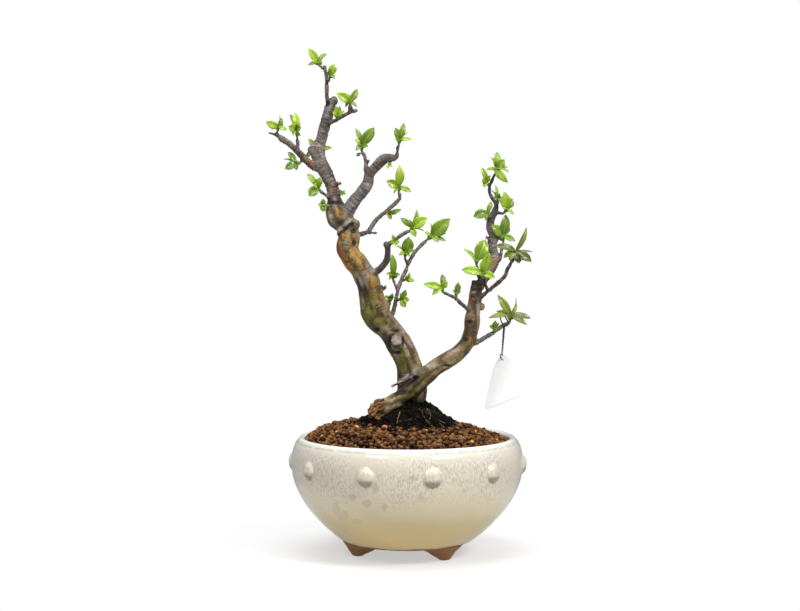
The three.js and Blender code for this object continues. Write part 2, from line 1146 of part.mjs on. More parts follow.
// A closed solid of a geometry, facing out.
function solidOf(geometry) {
  const flat = geometry.index ? geometry.toNonIndexed() : geometry.clone();
  const bare = new THREE.BufferGeometry();
  bare.setAttribute("position", flat.getAttribute("position"));
  const merged = mergeVertices(bare, 1e-4);
  const found = merged.index.array;
  const faces = [];
  for (let i = 0; i < found.length; i += 3) {
    const [a, b, c] = [found[i], found[i + 1], found[i + 2]];
    if (a !== b && b !== c && c !== a) faces.push(a, b, c);
  }
  return closed(merged.attributes.position.array, faces);
}

// A closed solid of points and faces, turned to face out.
function closed(points, faces) {
  const build = (order) =>
    new wasm.Manifold(
      new wasm.Mesh({
        numProp: 3,
        vertProperties: new Float32Array(points),
        triVerts: new Uint32Array(order),
      }),
    );
  const made = build(faces);
  if (made.volume() > 0) return made;
  const turned = [];
  for (let i = 0; i < faces.length; i += 3) turned.push(faces[i], faces[i + 2], faces[i + 1]);
  return build(turned);
}

// True where each edge of a solid, by place, has just two faces.
function isSound(solid) {
  const raw = solid.getMesh();
  const places = new Map();
  const numbers = [];
  for (let i = 0; i < raw.numVert; i++) {
    const row = raw.vertProperties.subarray(i * raw.numProp, i * raw.numProp + 3);
    const key = Array.from(row, (v) => Math.round(v * 1e3)).join();
    if (!places.has(key)) places.set(key, places.size);
    numbers.push(places.get(key));
  }
  const edges = new Map();
  for (let i = 0; i < raw.triVerts.length; i += 3) {
    const [a, b, c] = [0, 1, 2].map((k) => numbers[raw.triVerts[i + k]]);
    if (a === b || b === c || c === a) return false;
    for (const [p, q] of [[a, b], [b, c], [c, a]]) {
      const key = p < q ? p * 1e6 + q : q * 1e6 + p;
      edges.set(key, (edges.get(key) || 0) + 1);
    }
  }
  return [...edges.values()].every((count) => count === 2);
}

// The largest body of a solid, without its loose scraps, and with fewer flat faces.
function largest(solid, flatness = 0.01) {
  const bodies = solid.decompose();
  bodies.sort((a, b) => b.volume() - a.volume());
  let body = bodies[0];
  for (const share of [1, 0.8, 0.6, 0.4, 0.2, 0.1, 0.05]) {
    body = bodies[0].asOriginal().simplify(flatness * share);
    if (isSound(body)) break;
  }
  return body;
}

// The middle part of the smooth curve through four rows of numbers, at t from 0 to 1.
function between(a, b, c, d, t) {
  const gap = (p, q) => Math.max(Math.hypot(p[0] - q[0], p[1] - q[1], p[2] - q[2]) ** 0.5, 1e-3);
  const k1 = gap(a, b);
  const k2 = k1 + gap(b, c);
  const k3 = k2 + gap(c, d);
  const s = k1 + (k2 - k1) * t;
  const mix = (p, q, from, to) => p.map((v, i) => v + ((q[i] - v) * (s - from)) / (to - from));
  const ab = mix(a, b, 0, k1);
  const bc = mix(b, c, k1, k2);
  const cd = mix(c, d, k2, k3);
  return mix(mix(ab, bc, 0, k2), mix(bc, cd, k1, k3), k1, k2);
}

// Points about step apart on the smooth curve through rows of x, y, z and radius.
function course(rows, step) {
  const beyond = (p, q) => p.map((v, i) => 2 * v - q[i]);
  const first = beyond(rows[0], rows[1]);
  const last = beyond(rows[rows.length - 1], rows[rows.length - 2]);
  const all = [first, ...rows, last];
  const fine = [];
  const parts = 12;
  for (let i = 1; i < all.length - 2; i++) {
    for (let k = 0; k < parts; k++) {
      fine.push(between(all[i - 1], all[i], all[i + 1], all[i + 2], k / parts));
    }
  }
  fine.push(rows[rows.length - 1]);
  const along = [0];
  for (let i = 1; i < fine.length; i++) {
    const [p, q] = [fine[i - 1], fine[i]];
    along.push(along[i - 1] + Math.hypot(q[0] - p[0], q[1] - p[1], q[2] - p[2]));
  }
  const whole = along[along.length - 1];
  const count = Math.max(1, Math.round(whole / step));
  const found = [];
  let j = 0;
  for (let i = 0; i <= count; i++) {
    const s = (whole * i) / count;
    while (j < along.length - 2 && along[j + 1] < s) j++;
    const f = Math.min(1, (s - along[j]) / (along[j + 1] - along[j]));
    found.push([...fine[j].map((v, k) => v + (fine[j + 1][k] - v) * f), s]);
  }
  return found;
}

// A limb: rings round the curve, with flutes along it, swellings and domed ends.
function limbSolid(rows, sides, step, ribs, seed, grow) {
  const rings = course(rows, step);
  const n = rings.length;
  const points = [];
  const faces = [];
  const across = new THREE.Vector3(0, -1, 0);
  const heading = new THREE.Vector3();
  rings.forEach((ring, i) => {
    const before = rings[Math.max(0, i - 1)];
    const after = rings[Math.min(n - 1, i + 1)];
    heading.set(after[0] - before[0], after[1] - before[1], after[2] - before[2]).normalize();
    across.addScaledVector(heading, -across.dot(heading));
    if (across.length() < 0.05) across.set(1, 0, 0).addScaledVector(heading, -heading.x);
    across.normalize();
    const side = new THREE.Vector3().crossVectors(heading, across);
    const s = ring[4];
    const swell = 1 + ribs * 1.2 * drift(s / 9, seed);
    if (i === 0) {
      const d = -(0.35 * ring[3] + grow);
      points.push(ring[0] + heading.x * d, ring[1] + heading.y * d, ring[2] + heading.z * d);
    }
    for (let k = 0; k < sides; k++) {
      const a = (2 * Math.PI * k) / sides;
      const flute = 0.6 * Math.cos(3 * a + seed + 0.02 * s) + 0.4 * Math.cos(5 * a - 0.03 * s);
      const r = ring[3] * swell * (1 + ribs * flute) + grow;
      const c = Math.cos(a) * r;
      const d = Math.sin(a) * r;
      points.push(
        ring[0] + across.x * c + side.x * d,
        ring[1] + across.y * c + side.y * d,
        ring[2] + across.z * c + side.z * d,
      );
    }
    if (i === n - 1) {
      const d = 0.35 * ring[3] + grow;
      points.push(ring[0] + heading.x * d, ring[1] + heading.y * d, ring[2] + heading.z * d);
    }
  });
  const top = 1 + n * sides;
  for (let k = 0; k < sides; k++) {
    const next = (k + 1) % sides;
    faces.push(0, 1 + next, 1 + k);
    faces.push(top, top - sides + k, top - sides + next);
    for (let i = 0; i < n - 1; i++) {
      const a = 1 + i * sides + k;
      const b = 1 + i * sides + next;
      faces.push(a, b, a + sides, b, b + sides, a + sides);
    }
  }
  return closed(points, faces);
}

// Rows of u, v, y and half thickness as rows of millimetres.
function inSpace(rows) {
  return rows.map(([u, v, y, r]) => [...at(u, v, y).toArray(), r * GRID]);
}

// The whole wood, or the same grown outward by a clearance.
function woodSolid(grow) {
  const parts = LIMBS.map((limb, i) =>
    limbSolid(inSpace(limb.points), limb.sides, limb.step, limb.ribs, i + 1, grow),
  );
  KNOBS.forEach(([u, v, y, r], i) => {
    const ball = new THREE.IcosahedronGeometry(r * GRID + grow, r > 4.3 ? 1 : 0);
    ball.scale(1, 0.8, 0.9 + 0.3 * chance(i));
    const p = at(u, v, y);
    ball.translate(p.x, p.y, p.z);
    parts.push(solidOf(ball));
  });
  return wasm.Manifold.union(parts);
}

// One blade: a thin leaf folded along its rib, arched along its length, with waved edges.
function bladeSolid(root, tip, width, turn, seed) {
  const heading = new THREE.Vector3().subVectors(tip, root);
  const length = heading.length();
  heading.normalize();
  const face = new THREE.Vector3(0, -1, 0);
  face.addScaledVector(heading, -face.dot(heading));
  if (face.length() < 0.15) face.set(0, 0, 1).addScaledVector(heading, -heading.z);
  face.normalize();
  const flat = Math.abs(heading.z) < 0.75 && heading.x > 0;
  face.applyAxisAngle(heading, THREE.MathUtils.degToRad(flat ? -turn : turn));
  const side = new THREE.Vector3().crossVectors(heading, face);
  let stations = [
    [0, 0.16],
    [0.55, 1],
  ];
  if (length > 9.5) {
    stations = [
      [0, 0.12],
      [0.38, 0.96],
      [0.74, 0.82],
    ];
  }
  if (length > 17) {
    stations = [
      [0, 0.1],
      [0.3, 0.84],
      [0.58, 1],
      [0.84, 0.64],
    ];
  }
  const folded = stations.length > 2;
  const points = [];
  const put = (t, over, up) => {
    const lift = up + BLADE_ARCH * length * Math.sin(Math.PI * t);
    points.push(
      root.x + heading.x * length * t + side.x * over + face.x * lift,
      root.y + heading.y * length * t + side.y * over + face.y * lift,
      root.z + heading.z * length * t + side.z * over + face.z * lift,
    );
  };
  stations.forEach(([t, w], i) => {
    const half = (width / 2) * w;
    const left = BLADE_FOLD * half + BLADE_WAVE * width * (chance(seed + i) - 0.5);
    const right = BLADE_FOLD * half + BLADE_WAVE * width * (chance(seed + i + 9) - 0.5);
    put(t, -half, left);
    if (folded) put(t, 0, 0);
    put(t, half, right);
    put(t, half, right - BLADE_THICKNESS);
    if (folded) put(t, 0, -BLADE_THICKNESS);
    put(t, -half, left - BLADE_THICKNESS);
  });
  put(1, 0, 0);
  put(1, 0, -BLADE_THICKNESS);
  if (!folded) {
    const around = [0, 1, 2, 3];
    const plain = [0, 2, 3, 0, 1, 2];
    for (const k of around) {
      const n = (k + 1) % 4;
      plain.push(k, k + 4, n, n, k + 4, n + 4);
    }
    plain.push(4, 8, 5, 5, 8, 9, 5, 9, 6, 6, 9, 7, 7, 9, 8, 7, 8, 4);
    return closed(points, plain);
  }
  const faces = [0, 4, 5, 0, 1, 4, 1, 3, 4, 1, 2, 3];
  for (let i = 0; i < stations.length - 1; i++) {
    const a = 6 * i;
    const b = a + 6;
    faces.push(a, b, a + 1, a + 1, b, b + 1);
    faces.push(a + 2, a + 1, b + 2, a + 1, b + 1, b + 2);
    faces.push(a + 2, b + 2, a + 3, b + 2, b + 3, a + 3);
    faces.push(a + 3, b + 3, a + 4, a + 4, b + 3, b + 4);
    faces.push(a + 5, a + 4, b + 5, a + 4, b + 4, b + 5);
    faces.push(a + 5, b + 5, a, b + 5, b, a);
  }
  const e = 6 * (stations.length - 1);
  const t = e + 6;
  faces.push(e, t, e + 1, e + 1, t, e + 2);
  faces.push(e + 2, t, e + 3, t, t + 1, e + 3);
  faces.push(e + 3, t + 1, e + 4, e + 4, t + 1, e + 5);
  faces.push(e + 5, t + 1, e, t + 1, t, e);
  return closed(points, faces);
}

// A leaflet: a small blade with three sides, widest before its middle.
function leafletSolid(root, tip, width) {
  const heading = new THREE.Vector3().subVectors(tip, root).normalize();
  const face = new THREE.Vector3(0, -1, 0.6).addScaledVector(heading, heading.y - 0.6 * heading.z);
  face.normalize();
  const side = new THREE.Vector3().crossVectors(heading, face);
  const points = [];
  for (const [t, w] of [[0, 0.35], [0.45, 1]]) {
    const middle = root.clone().lerp(tip, t);
    const left = middle.clone().addScaledVector(side, (-width / 2) * w);
    const right = middle.clone().addScaledVector(side, (width / 2) * w);
    const back = middle.clone().addScaledVector(face, -0.9 * (0.5 + 0.5 * w));
    points.push(...left.toArray(), ...right.toArray(), ...back.toArray());
  }
  points.push(...tip.toArray());
  const faces = [0, 2, 1];
  for (const [a, b] of [[0, 1], [1, 2], [2, 0]]) {
    faces.push(a, b, a + 3, b, b + 3, a + 3, a + 3, b + 3, 6);
  }
  return closed(points, faces);
}

// A cluster: a short stem from bud to heart, its blades, and leaflets round its foot.
function spraySolid(spray, index, leaflets) {
  const bud = at(...spray.bud);
  const heart = at(...spray.heart);
  const heading = new THREE.Vector3().subVectors(heart, bud);
  const reach = heading.length();
  heading.normalize();
  const start = bud.clone().addScaledVector(heading, GAP);
  const stem = [
    [...start.toArray(), 1.2],
    [...heart.toArray(), 1.5],
  ];
  const parts = [limbSolid(stem, 5, Math.max(2.4, reach / 2), 0, index, 0)];
  spray.blades.forEach(([u, v, dy, width, turn], i) => {
    const tip = at(u, v, spray.heart[2] + dy);
    const pull = new THREE.Vector3().subVectors(heart, tip).normalize();
    const root = heart.clone().addScaledVector(pull, 0.4);
    const slim = width < SLIM_BLADE;
    if (slim) parts.push(leafletSolid(root, tip, width * GRID));
    else parts.push(bladeSolid(root, tip, width * GRID, turn, index * 31 + i * 3));
  });
  const aside = new THREE.Vector3(0, -1, 0).addScaledVector(heading, heading.y).normalize();
  for (let i = 0; i < leaflets; i++) {
    const seed = index * 7 + i * 3;
    const out = aside.clone().applyAxisAngle(heading, 2.2 * i - 1.5 + 1.2 * chance(seed));
    const way = out.clone().addScaledVector(heading, 0.25 + 0.5 * chance(seed + 1)).normalize();
    const foot = start.clone().addScaledVector(heading, 0.3 + 0.2 * reach);
    const root = foot.clone().addScaledVector(way, 0.4);
    const tip = foot.clone().addScaledVector(way, 4.2 + 1.8 * chance(seed + 2));
    parts.push(leafletSolid(root, tip, 2.4 + 0.8 * chance(seed + 3)));
  }
  return wasm.Manifold.union(parts);
}

// A solid turned round the vertical axis from radii and heights.
function turned(profile, segments) {
  const outline = profile.map(([r, z]) => new THREE.Vector2(r, z));
  const lathe = new THREE.LatheGeometry(outline, segments);
  lathe.rotateX(Math.PI / 2);
  return solidOf(lathe);
}

// The pot: its bowl, studs and feet.
function potSolid() {
  const wall = [...POT_OUTSIDE, ...POT_INSIDE, POT_OUTSIDE[0]];
  const parts = [turned(wall, POT_SEGMENTS)];
  for (const degrees of STUD_ANGLES) {
    const a = THREE.MathUtils.degToRad(degrees);
    const dome = new THREE.SphereGeometry(1, 8, 6);
    dome.scale(STUD_RADIUS, STUD_PROUD, STUD_RADIUS);
    dome.translate(0, -101.4, STUD_Z);
    dome.rotateZ(a);
    parts.push(solidOf(dome));
  }
  for (const degrees of FOOT_ANGLES) {
    const a = THREE.MathUtils.degToRad(degrees);
    const corners = [];
    for (const [z, middle, long, wide] of FOOT_SECTIONS) {
      for (let k = 0; k < 10; k++) {
        const b = (2 * Math.PI * k) / 10;
        corners.push(new THREE.Vector3(middle + long * Math.cos(b), wide * Math.sin(b), z));
      }
    }
    const foot = new ConvexGeometry(corners);
    foot.rotateZ(a);
    parts.push(solidOf(foot));
  }
  return wasm.Manifold.union(parts).translate([POT_X, 0, 0]);
}

// The soil: the inside of the pot less the gap, with grains standing out of its top.
function soilSolid() {
  const wall = POT_INSIDE.slice(2, -2).reverse();
  const low = [[0, SOIL_FLOOR], [47, SOIL_FLOOR]];
  const sides = wall.map(([r, z]) => [r - GAP - 0.1, z + (z < 60 ? 0.35 : 0)]);
  sides.pop();
  const rings = [...low, ...sides, ...SOIL_TOP, [0, 115.4]];
  const points = [];
  const faces = [];
  rings.forEach(([r, z], i) => {
    const loose = i >= low.length + sides.length + 1;
    const count = r === 0 ? 1 : POT_SEGMENTS;
    for (let k = 0; k < count; k++) {
      const a = (2 * Math.PI * k) / POT_SEGMENTS;
      const bank = -SOIL_LEAN * Math.sin(Math.PI * (r / 90) ** 3) * Math.sin(a);
      const up = loose ? bank + SOIL_GRAIN * (2 * chance(i * 67 + k * 3) - 1) : 0;
      points.push(POT_X + r * Math.sin(a), -r * Math.cos(a), z + up);
    }
  });
  const last = points.length / 3 - 1;
  for (let k = 0; k < POT_SEGMENTS; k++) {
    const next = (k + 1) % POT_SEGMENTS;
    faces.push(0, 1 + next, 1 + k);
    faces.push(last, last - POT_SEGMENTS + k, last - POT_SEGMENTS + next);
    for (let i = 0; i < rings.length - 3; i++) {
      const a = 1 + i * POT_SEGMENTS + k;
      const b = 1 + i * POT_SEGMENTS + next;
      faces.push(a, b, a + POT_SEGMENTS, b, b + POT_SEGMENTS, a + POT_SEGMENTS);
    }
  }
  return closed(points, faces);
}

// The root ball: a lumpy mound, wider to the right, with a flat floor.
function ballSolid(grow) {
  const middle = at(...BALL_MIDDLE);
  const sectors = 20;
  const points = [middle.x, middle.y, BALL_FLOOR - grow];
  const faces = [];
  const rings = [[1.05, BALL_FLOOR - grow], ...BALL_HEIGHTS];
  rings.forEach(([share, z], i) => {
    for (let k = 0; k < sectors; k++) {
      const a = (2 * Math.PI * k) / sectors;
      const lump = i > 0 ? 0.07 * (chance(i * 41 + k) - 0.5) : 0;
      const reach = BALL_REACH * (1 + 0.08 * Math.cos(2 * a) + 0.03 * Math.cos(a));
      const r = reach * (share + lump) + grow;
      const up = i > 1 ? 2.4 * (chance(i * 53 + k * 2) - 0.5) : 0;
      points.push(middle.x + r * Math.cos(a), middle.y + r * Math.sin(a), z + up);
    }
  });
  points.push(middle.x, middle.y, 136);
  const last = points.length / 3 - 1;
  for (let k = 0; k < sectors; k++) {
    const next = (k + 1) % sectors;
    faces.push(0, 1 + next, 1 + k);
    faces.push(last, last - sectors + k, last - sectors + next);
    for (let i = 0; i < rings.length - 1; i++) {
      const a = 1 + i * sectors + k;
      const b = 1 + i * sectors + next;
      faces.push(a, b, a + sectors, b, b + sectors, a + sectors);
    }
  }
  return closed(points, faces);
}

// The mesh over the drainage hole: bars that cross.
function screenSolid() {
  const bars = [];
  const pitch = (SCREEN_SIDE - SCREEN_BAR) / SCREEN_HOLES;
  for (let i = 0; i <= SCREEN_HOLES; i++) {
    const off = -(SCREEN_SIDE - SCREEN_BAR) / 2 + i * pitch;
    const along = new THREE.BoxGeometry(SCREEN_SIDE, SCREEN_BAR, SCREEN_THICKNESS);
    bars.push(solidOf(along.translate(0, off, 0)));
    const over = new THREE.BoxGeometry(SCREEN_BAR, SCREEN_SIDE, SCREEN_THICKNESS);
    bars.push(solidOf(over.translate(off, 0, 0)));
  }
  return wasm.Manifold.union(bars).translate([POT_X, 0, POT_FLOOR + GAP + SCREEN_THICKNESS / 2]);
}

// The card, hung from its top and turned a little, with a punched hole.
function tagSolid() {
  const corners = [];
  for (const [x, y] of TAG_OUTLINE) {
    for (const out of [-TAG_THICKNESS / 2, TAG_THICKNESS / 2]) {
      corners.push(new THREE.Vector3(x, -y, out), new THREE.Vector3(-x, -y, out));
    }
  }
  const punch = new THREE.CylinderGeometry(TAG_HOLE_RADIUS, TAG_HOLE_RADIUS, 4, 14);
  punch.rotateX(Math.PI / 2);
  punch.translate(0, -TAG_HOLE_DOWN, 0);
  const lie = tagLie();
  const card = new ConvexGeometry(corners).applyMatrix4(lie);
  return solidOf(card).subtract(solidOf(punch.applyMatrix4(lie)));
}

// How the card lies: across, up and out of its face, from its top.
function tagLie() {
  const across = new THREE.Vector3(...TAG_ACROSS).normalize();
  const up = new THREE.Vector3(...TAG_DOWN).negate();
  up.addScaledVector(across, -up.dot(across)).normalize();
  const out = new THREE.Vector3().crossVectors(across, up);
  return new THREE.Matrix4().makeBasis(across, up, out).setPosition(at(...TAG_TOP));
}

// The wire: a loop that stands on the twig, a straight shank, and an eye through the card.
function tieSolid(grow) {
  const ring = (radius, thick, place, facing) => {
    const loop = new THREE.TorusGeometry(radius, thick, 6, 16);
    const turn = new THREE.Quaternion();
    turn.setFromUnitVectors(new THREE.Vector3(0, 0, 1), facing.normalize());
    loop.applyQuaternion(turn);
    loop.translate(place.x, place.y, place.z);
    return solidOf(loop);
  };
  const loopAt = at(504.2, 320.6, 1);
  const lie = tagLie();
  const hole = new THREE.Vector3(0, -TAG_HOLE_DOWN, 0).applyMatrix4(lie);
  const across = new THREE.Vector3().setFromMatrixColumn(lie, 0);
  const up = new THREE.Vector3().setFromMatrixColumn(lie, 1);
  const eyeAt = hole.clone().addScaledVector(up, WIRE_EYE);
  const from = loopAt.clone();
  from.z -= WIRE_LOOP;
  const to = eyeAt.clone().addScaledVector(up, WIRE_EYE);
  const shank = [
    [...from.toArray(), WIRE_RADIUS * 1.5 + grow],
    [...from.clone().lerp(to, 0.15).toArray(), WIRE_RADIUS + grow],
    [...from.clone().lerp(to, 0.55).toArray(), WIRE_RADIUS + grow],
    [...from.clone().lerp(to, 0.85).toArray(), WIRE_RADIUS * 1.2 + grow],
    [...to.toArray(), WIRE_RADIUS * 1.5 + grow],
  ];
  return wasm.Manifold.union([
    ring(WIRE_LOOP, WIRE_RADIUS + grow, loopAt, new THREE.Vector3(0.75, -0.5, 0.4)),
    ring(WIRE_EYE, WIRE_RADIUS * 0.8 + grow, eyeAt, across),
    limbSolid(shank, 6, 7, 0, 3, 0),
  ]);
}

// The room that a solid takes with the gap round it.
function roomOf(solid) {
  const moved = [-GAP, GAP].flatMap((d) => [[d, 0, 0], [0, d, 0], [0, 0, d]]);
  return wasm.Manifold.union(moved.map((way) => solid.translate(way)));
}

const object = new THREE.Group();

// Adds a solid to the object as a named mesh.
function add(name, solid, colour, roughness) {
  const raw = solid.getMesh();
  const geometry = new THREE.BufferGeometry();
  const points = new Float32Array(raw.numVert * 3);
  for (let i = 0; i < raw.numVert; i++) {
    points.set(raw.vertProperties.subarray(i * raw.numProp, i * raw.numProp + 3), i * 3);
  }
  geometry.setAttribute("position", new THREE.BufferAttribute(points, 3));
  geometry.setIndex(new THREE.BufferAttribute(new Uint32Array(raw.triVerts), 1));
  geometry.computeVertexNormals();
  const mesh = new THREE.Mesh(geometry, new THREE.MeshStandardMaterial({ color: colour, roughness }));
  mesh.name = name;
  object.add(mesh);
}

const wood = woodSolid(0);
const woodRoom = woodSolid(GAP);
const ball = largest(ballSolid(0).subtract(woodRoom));
const soil = largest(soilSolid().subtract(ballSolid(GAP)).subtract(woodRoom));
const tie = largest(tieSolid(0).subtract(woodRoom));
const tieRoom = tieSolid(GAP);

add("pot", largest(potSolid(), 0.03), 0xd8cdb8, 0.25);
add("soil", soil, 0x6b4426, 0.95);
add("root_ball", ball, 0x1d1813, 0.95);
add("wood", largest(wood, 0.22), 0x7d6a52, 0.85);
add("drain_screen", screenSolid(), 0x22262a, 0.6);
let flower = spraySolid(DRY_FLOWER, 99, 0).subtract(woodRoom);
SPRAYS.forEach((spray, i) => {
  const number = String(i + 1).padStart(2, "0");
  const whole = spraySolid(spray, i + 1, LEAFLETS).subtract(woodRoom).subtract(tieRoom);
  const body = largest(whole, 0.3);
  if (i + 1 === DRY_FLOWER.under) flower = flower.subtract(roomOf(body));
  add("spray_" + number, body, 0x86b51c, 0.5);
});
add("dry_flower", largest(flower, 0.1), 0x6a4224, 0.9);
add("tag", largest(tagSolid()), 0xf4f4f0, 0.6);
add("tag_tie", tie, 0x1b1b1c, 0.6);

export default object;
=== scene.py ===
# %% [markdown]
# # A Chinese quince bonsai in its glazed pot
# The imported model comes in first, as a fixed frame in metres. +X is the viewer's right, +Y points
# away from the viewer, and the feet stand on z = 0. Every piece below is made at its own place in
# that frame, so nothing has to be fitted afterwards.
# %% The frame
import math
import bpy
import numpy as np
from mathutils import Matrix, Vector, kdtree, noise


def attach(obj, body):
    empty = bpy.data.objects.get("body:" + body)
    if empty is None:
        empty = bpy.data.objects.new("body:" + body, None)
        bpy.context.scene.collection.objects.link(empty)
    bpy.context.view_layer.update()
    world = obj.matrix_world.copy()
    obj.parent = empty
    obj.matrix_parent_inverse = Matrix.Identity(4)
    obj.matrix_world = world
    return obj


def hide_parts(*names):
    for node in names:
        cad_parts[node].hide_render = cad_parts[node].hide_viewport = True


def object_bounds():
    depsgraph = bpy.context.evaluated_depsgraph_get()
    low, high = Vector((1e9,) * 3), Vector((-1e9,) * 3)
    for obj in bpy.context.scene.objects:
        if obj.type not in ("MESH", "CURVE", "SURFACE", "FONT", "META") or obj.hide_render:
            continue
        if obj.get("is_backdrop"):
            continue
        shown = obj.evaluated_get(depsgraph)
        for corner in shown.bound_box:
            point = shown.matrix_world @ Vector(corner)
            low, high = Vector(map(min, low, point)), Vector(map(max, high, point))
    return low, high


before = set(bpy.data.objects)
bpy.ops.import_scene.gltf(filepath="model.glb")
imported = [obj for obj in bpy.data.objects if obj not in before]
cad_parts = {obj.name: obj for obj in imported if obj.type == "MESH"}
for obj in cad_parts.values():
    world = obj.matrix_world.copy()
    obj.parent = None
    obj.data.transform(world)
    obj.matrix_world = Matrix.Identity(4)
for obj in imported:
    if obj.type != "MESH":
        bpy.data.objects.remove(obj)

MM = 0.001
cad_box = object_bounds()
print("the frame holds", len(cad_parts), "nodes")
# %% [markdown]
# ## The front view
# The tree is drawn on a front view: u runs to the right and v runs down, in steps of 0.88 mm at the
# pot's axis, and y is the depth in mm. One function turns such a point into a place in space, and
# one turns places back into points of the view. Chance is worked out from a seed, so each run grows
# the same tree.
# %% Places and chance
GRID, EYE_U, EYE_V, EYE_Z, EYE_DISTANCE, POT_X = 0.88, 407.2, 214, 300, 1600, 6.8


def at(u, v, y):
    """A point of the front view, in mm."""
    step = GRID * (EYE_DISTANCE + y) / EYE_DISTANCE
    return np.array([(u - EYE_U) * step + POT_X, y, EYE_Z - (v - EYE_V) * step])


def on_view(points):
    """Where places in space are seen on the front view, as all their u and all their v."""
    step = GRID * (EYE_DISTANCE + points[:, 1]) / EYE_DISTANCE
    return (points[:, 0] - POT_X) / step + EYE_U, (EYE_Z - points[:, 2]) / step + EYE_V


def spotted(points, spots, reach):
    """How strongly places lie in spots of the view, each a u and v with a half width and height."""
    u, v = on_view(points)
    near = [reach - np.hypot((u - su) / wide, (v - sv) / high) for su, sv, wide, high in spots]
    return np.clip(np.max(near, axis=0), 0, 1)


def first_inside(u, v, depths, inside):
    """The first of some depths along the line of sight through u, v that lies inside a shape."""
    return next(p for p in (at(u, v, y) for y in depths) if inside(p))


def chance(n):
    """A number from 0 to 1 that depends only on n."""
    x = math.sin(n * 12.9898 + 4.1414) * 43758.5453
    return x - math.floor(x)


def drift(t, seed):
    """A smooth wave from -1 to 1 along t."""
    i = math.floor(t)
    f = t - i
    a, b = chance(i + seed * 17.3), chance(i + 1 + seed * 17.3)
    return 2 * (a + (b - a) * f * f * (3 - 2 * f)) - 1


def unit(v):
    """The direction of a vector."""
    return v / max(np.linalg.norm(v), 1e-9)


print("the pot's rim stands at", at(407.2, 437, 0).round(1), "mm")
# %% [markdown]
# ## Camera and light
# The camera stands 1.6 m away, level with the upper third of the tree, and looks slightly down.
# The light is plain studio light: a pale room, one large soft panel overhead and two panels in
# front, which give the glaze its two long highlights.
# %% Camera
AIM_DOWN, AIM_LEFT, SENSOR, LENS = 80.5, 6.34, 36, 81.9
bpy.ops.object.camera_add(location=(POT_X * MM, -EYE_DISTANCE * MM, EYE_Z * MM))
camera = bpy.context.object
camera.name = "camera"
pitch = math.radians(90) - math.atan(AIM_DOWN / EYE_DISTANCE)
camera.rotation_euler = (pitch, 0, math.atan(AIM_LEFT / EYE_DISTANCE))
camera.data.sensor_width, camera.data.lens = SENSOR, LENS
bpy.context.scene.camera = camera
print("camera lens", round(camera.data.lens, 1), "mm")
# %% Light
LIT, SEEN = (0.96, 0.98, 1, 1), (1, 1, 1, 1)
ROOM_GLOW, LIGHTS_AIM = 0.4, Vector((0, 0, 0.15))
PANELS = [  # name, place, width and height in metres, watts
    ("overhead panel", (-0.1, -0.3, 1.5), 1.1, 0.8, 16),
    ("left panel", (-0.75, -1.2, 1.3), 0.5, 0.3, 7),
    ("right panel", (1.05, -1.0, 1.3), 0.6, 0.35, 21),
]
room = bpy.data.worlds.new("pale room")
room.use_nodes = True
links, nodes = room.node_tree.links, room.node_tree.nodes
soft, seen = nodes["Background"], nodes.new("ShaderNodeBackground")
for background, colour, strength in ((soft, LIT, ROOM_GLOW), (seen, SEEN, 1.0)):
    background.inputs["Color"].default_value = colour
    background.inputs["Strength"].default_value = strength
share, ray = nodes.new("ShaderNodeMixShader"), nodes.new("ShaderNodeLightPath")
links.new(ray.outputs["Is Camera Ray"], share.inputs[0])
links.new(soft.outputs[0], share.inputs[1])
links.new(seen.outputs[0], share.inputs[2])
links.new(share.outputs[0], nodes["World Output"].inputs["Surface"])
bpy.context.scene.world = room
bpy.context.scene.view_settings.view_transform = "Standard"
for name, place, wide, high, watts in PANELS:
    bpy.ops.object.light_add(type="AREA", location=place)
    lamp = bpy.context.object
    lamp.name = name
    lamp.rotation_euler = (LIGHTS_AIM - Vector(place)).to_track_quat("-Z", "Y").to_euler()
    lamp.data.shape = "RECTANGLE"
    lamp.data.size, lamp.data.size_y = wide, high
    lamp.data.energy = watts
    print(name, "gives", watts, "W")
# %% [markdown]
# ## A tidy bench
# Operators act on whatever is selected, so each step starts with nothing selected. A finished piece
# lies at the origin with its place in its mesh, rides on the root body, and says which node of the
# frame it stands for.
# %% Bench helpers
def clear_bench():
    """Leaves edit mode and deselects everything."""
    if bpy.context.object and bpy.context.object.mode != "OBJECT":
        bpy.ops.object.mode_set(mode="OBJECT")
    bpy.ops.object.select_all(action="DESELECT")


def pick(obj):
    """Makes obj the only selected object."""
    clear_bench()
    obj.select_set(True)
    bpy.context.view_layer.objects.active = obj
    return obj


def apply_place():
    """Moves the selected piece's place, turn and size into its mesh."""
    bpy.ops.object.transform_apply(location=True, rotation=True, scale=True)


def join(first, *others):
    """Joins other pieces into the first."""
    pick(first)
    for piece in others:
        piece.select_set(True)
    bpy.ops.object.join()
    return first


def close_edges(closer):
    """Closes the open edges of the mesh in hand by an operator, and turns its faces outwards."""
    bpy.ops.mesh.select_all(action="DESELECT")
    bpy.ops.mesh.select_non_manifold()
    closer()
    bpy.ops.mesh.select_all(action="SELECT")
    bpy.ops.mesh.normals_make_consistent(inside=False)


def from_points(name, points, faces):
    """A mesh object from points in mm."""
    mesh = bpy.data.meshes.new(name)
    mesh.from_pydata((np.asarray(points) * MM).tolist(), [], faces)
    mesh.update()
    obj = bpy.data.objects.new(name, mesh)
    bpy.context.scene.collection.objects.link(obj)
    return obj


def points_of(obj):
    """The points of a mesh in mm."""
    found = np.empty(len(obj.data.vertices) * 3)
    obj.data.vertices.foreach_get("co", found)
    return found.reshape(-1, 3) / MM


def put_points(obj, points):
    """Moves the points of a mesh to places in mm."""
    obj.data.vertices.foreach_set("co", (np.asarray(points) * MM).ravel())
    obj.data.update()


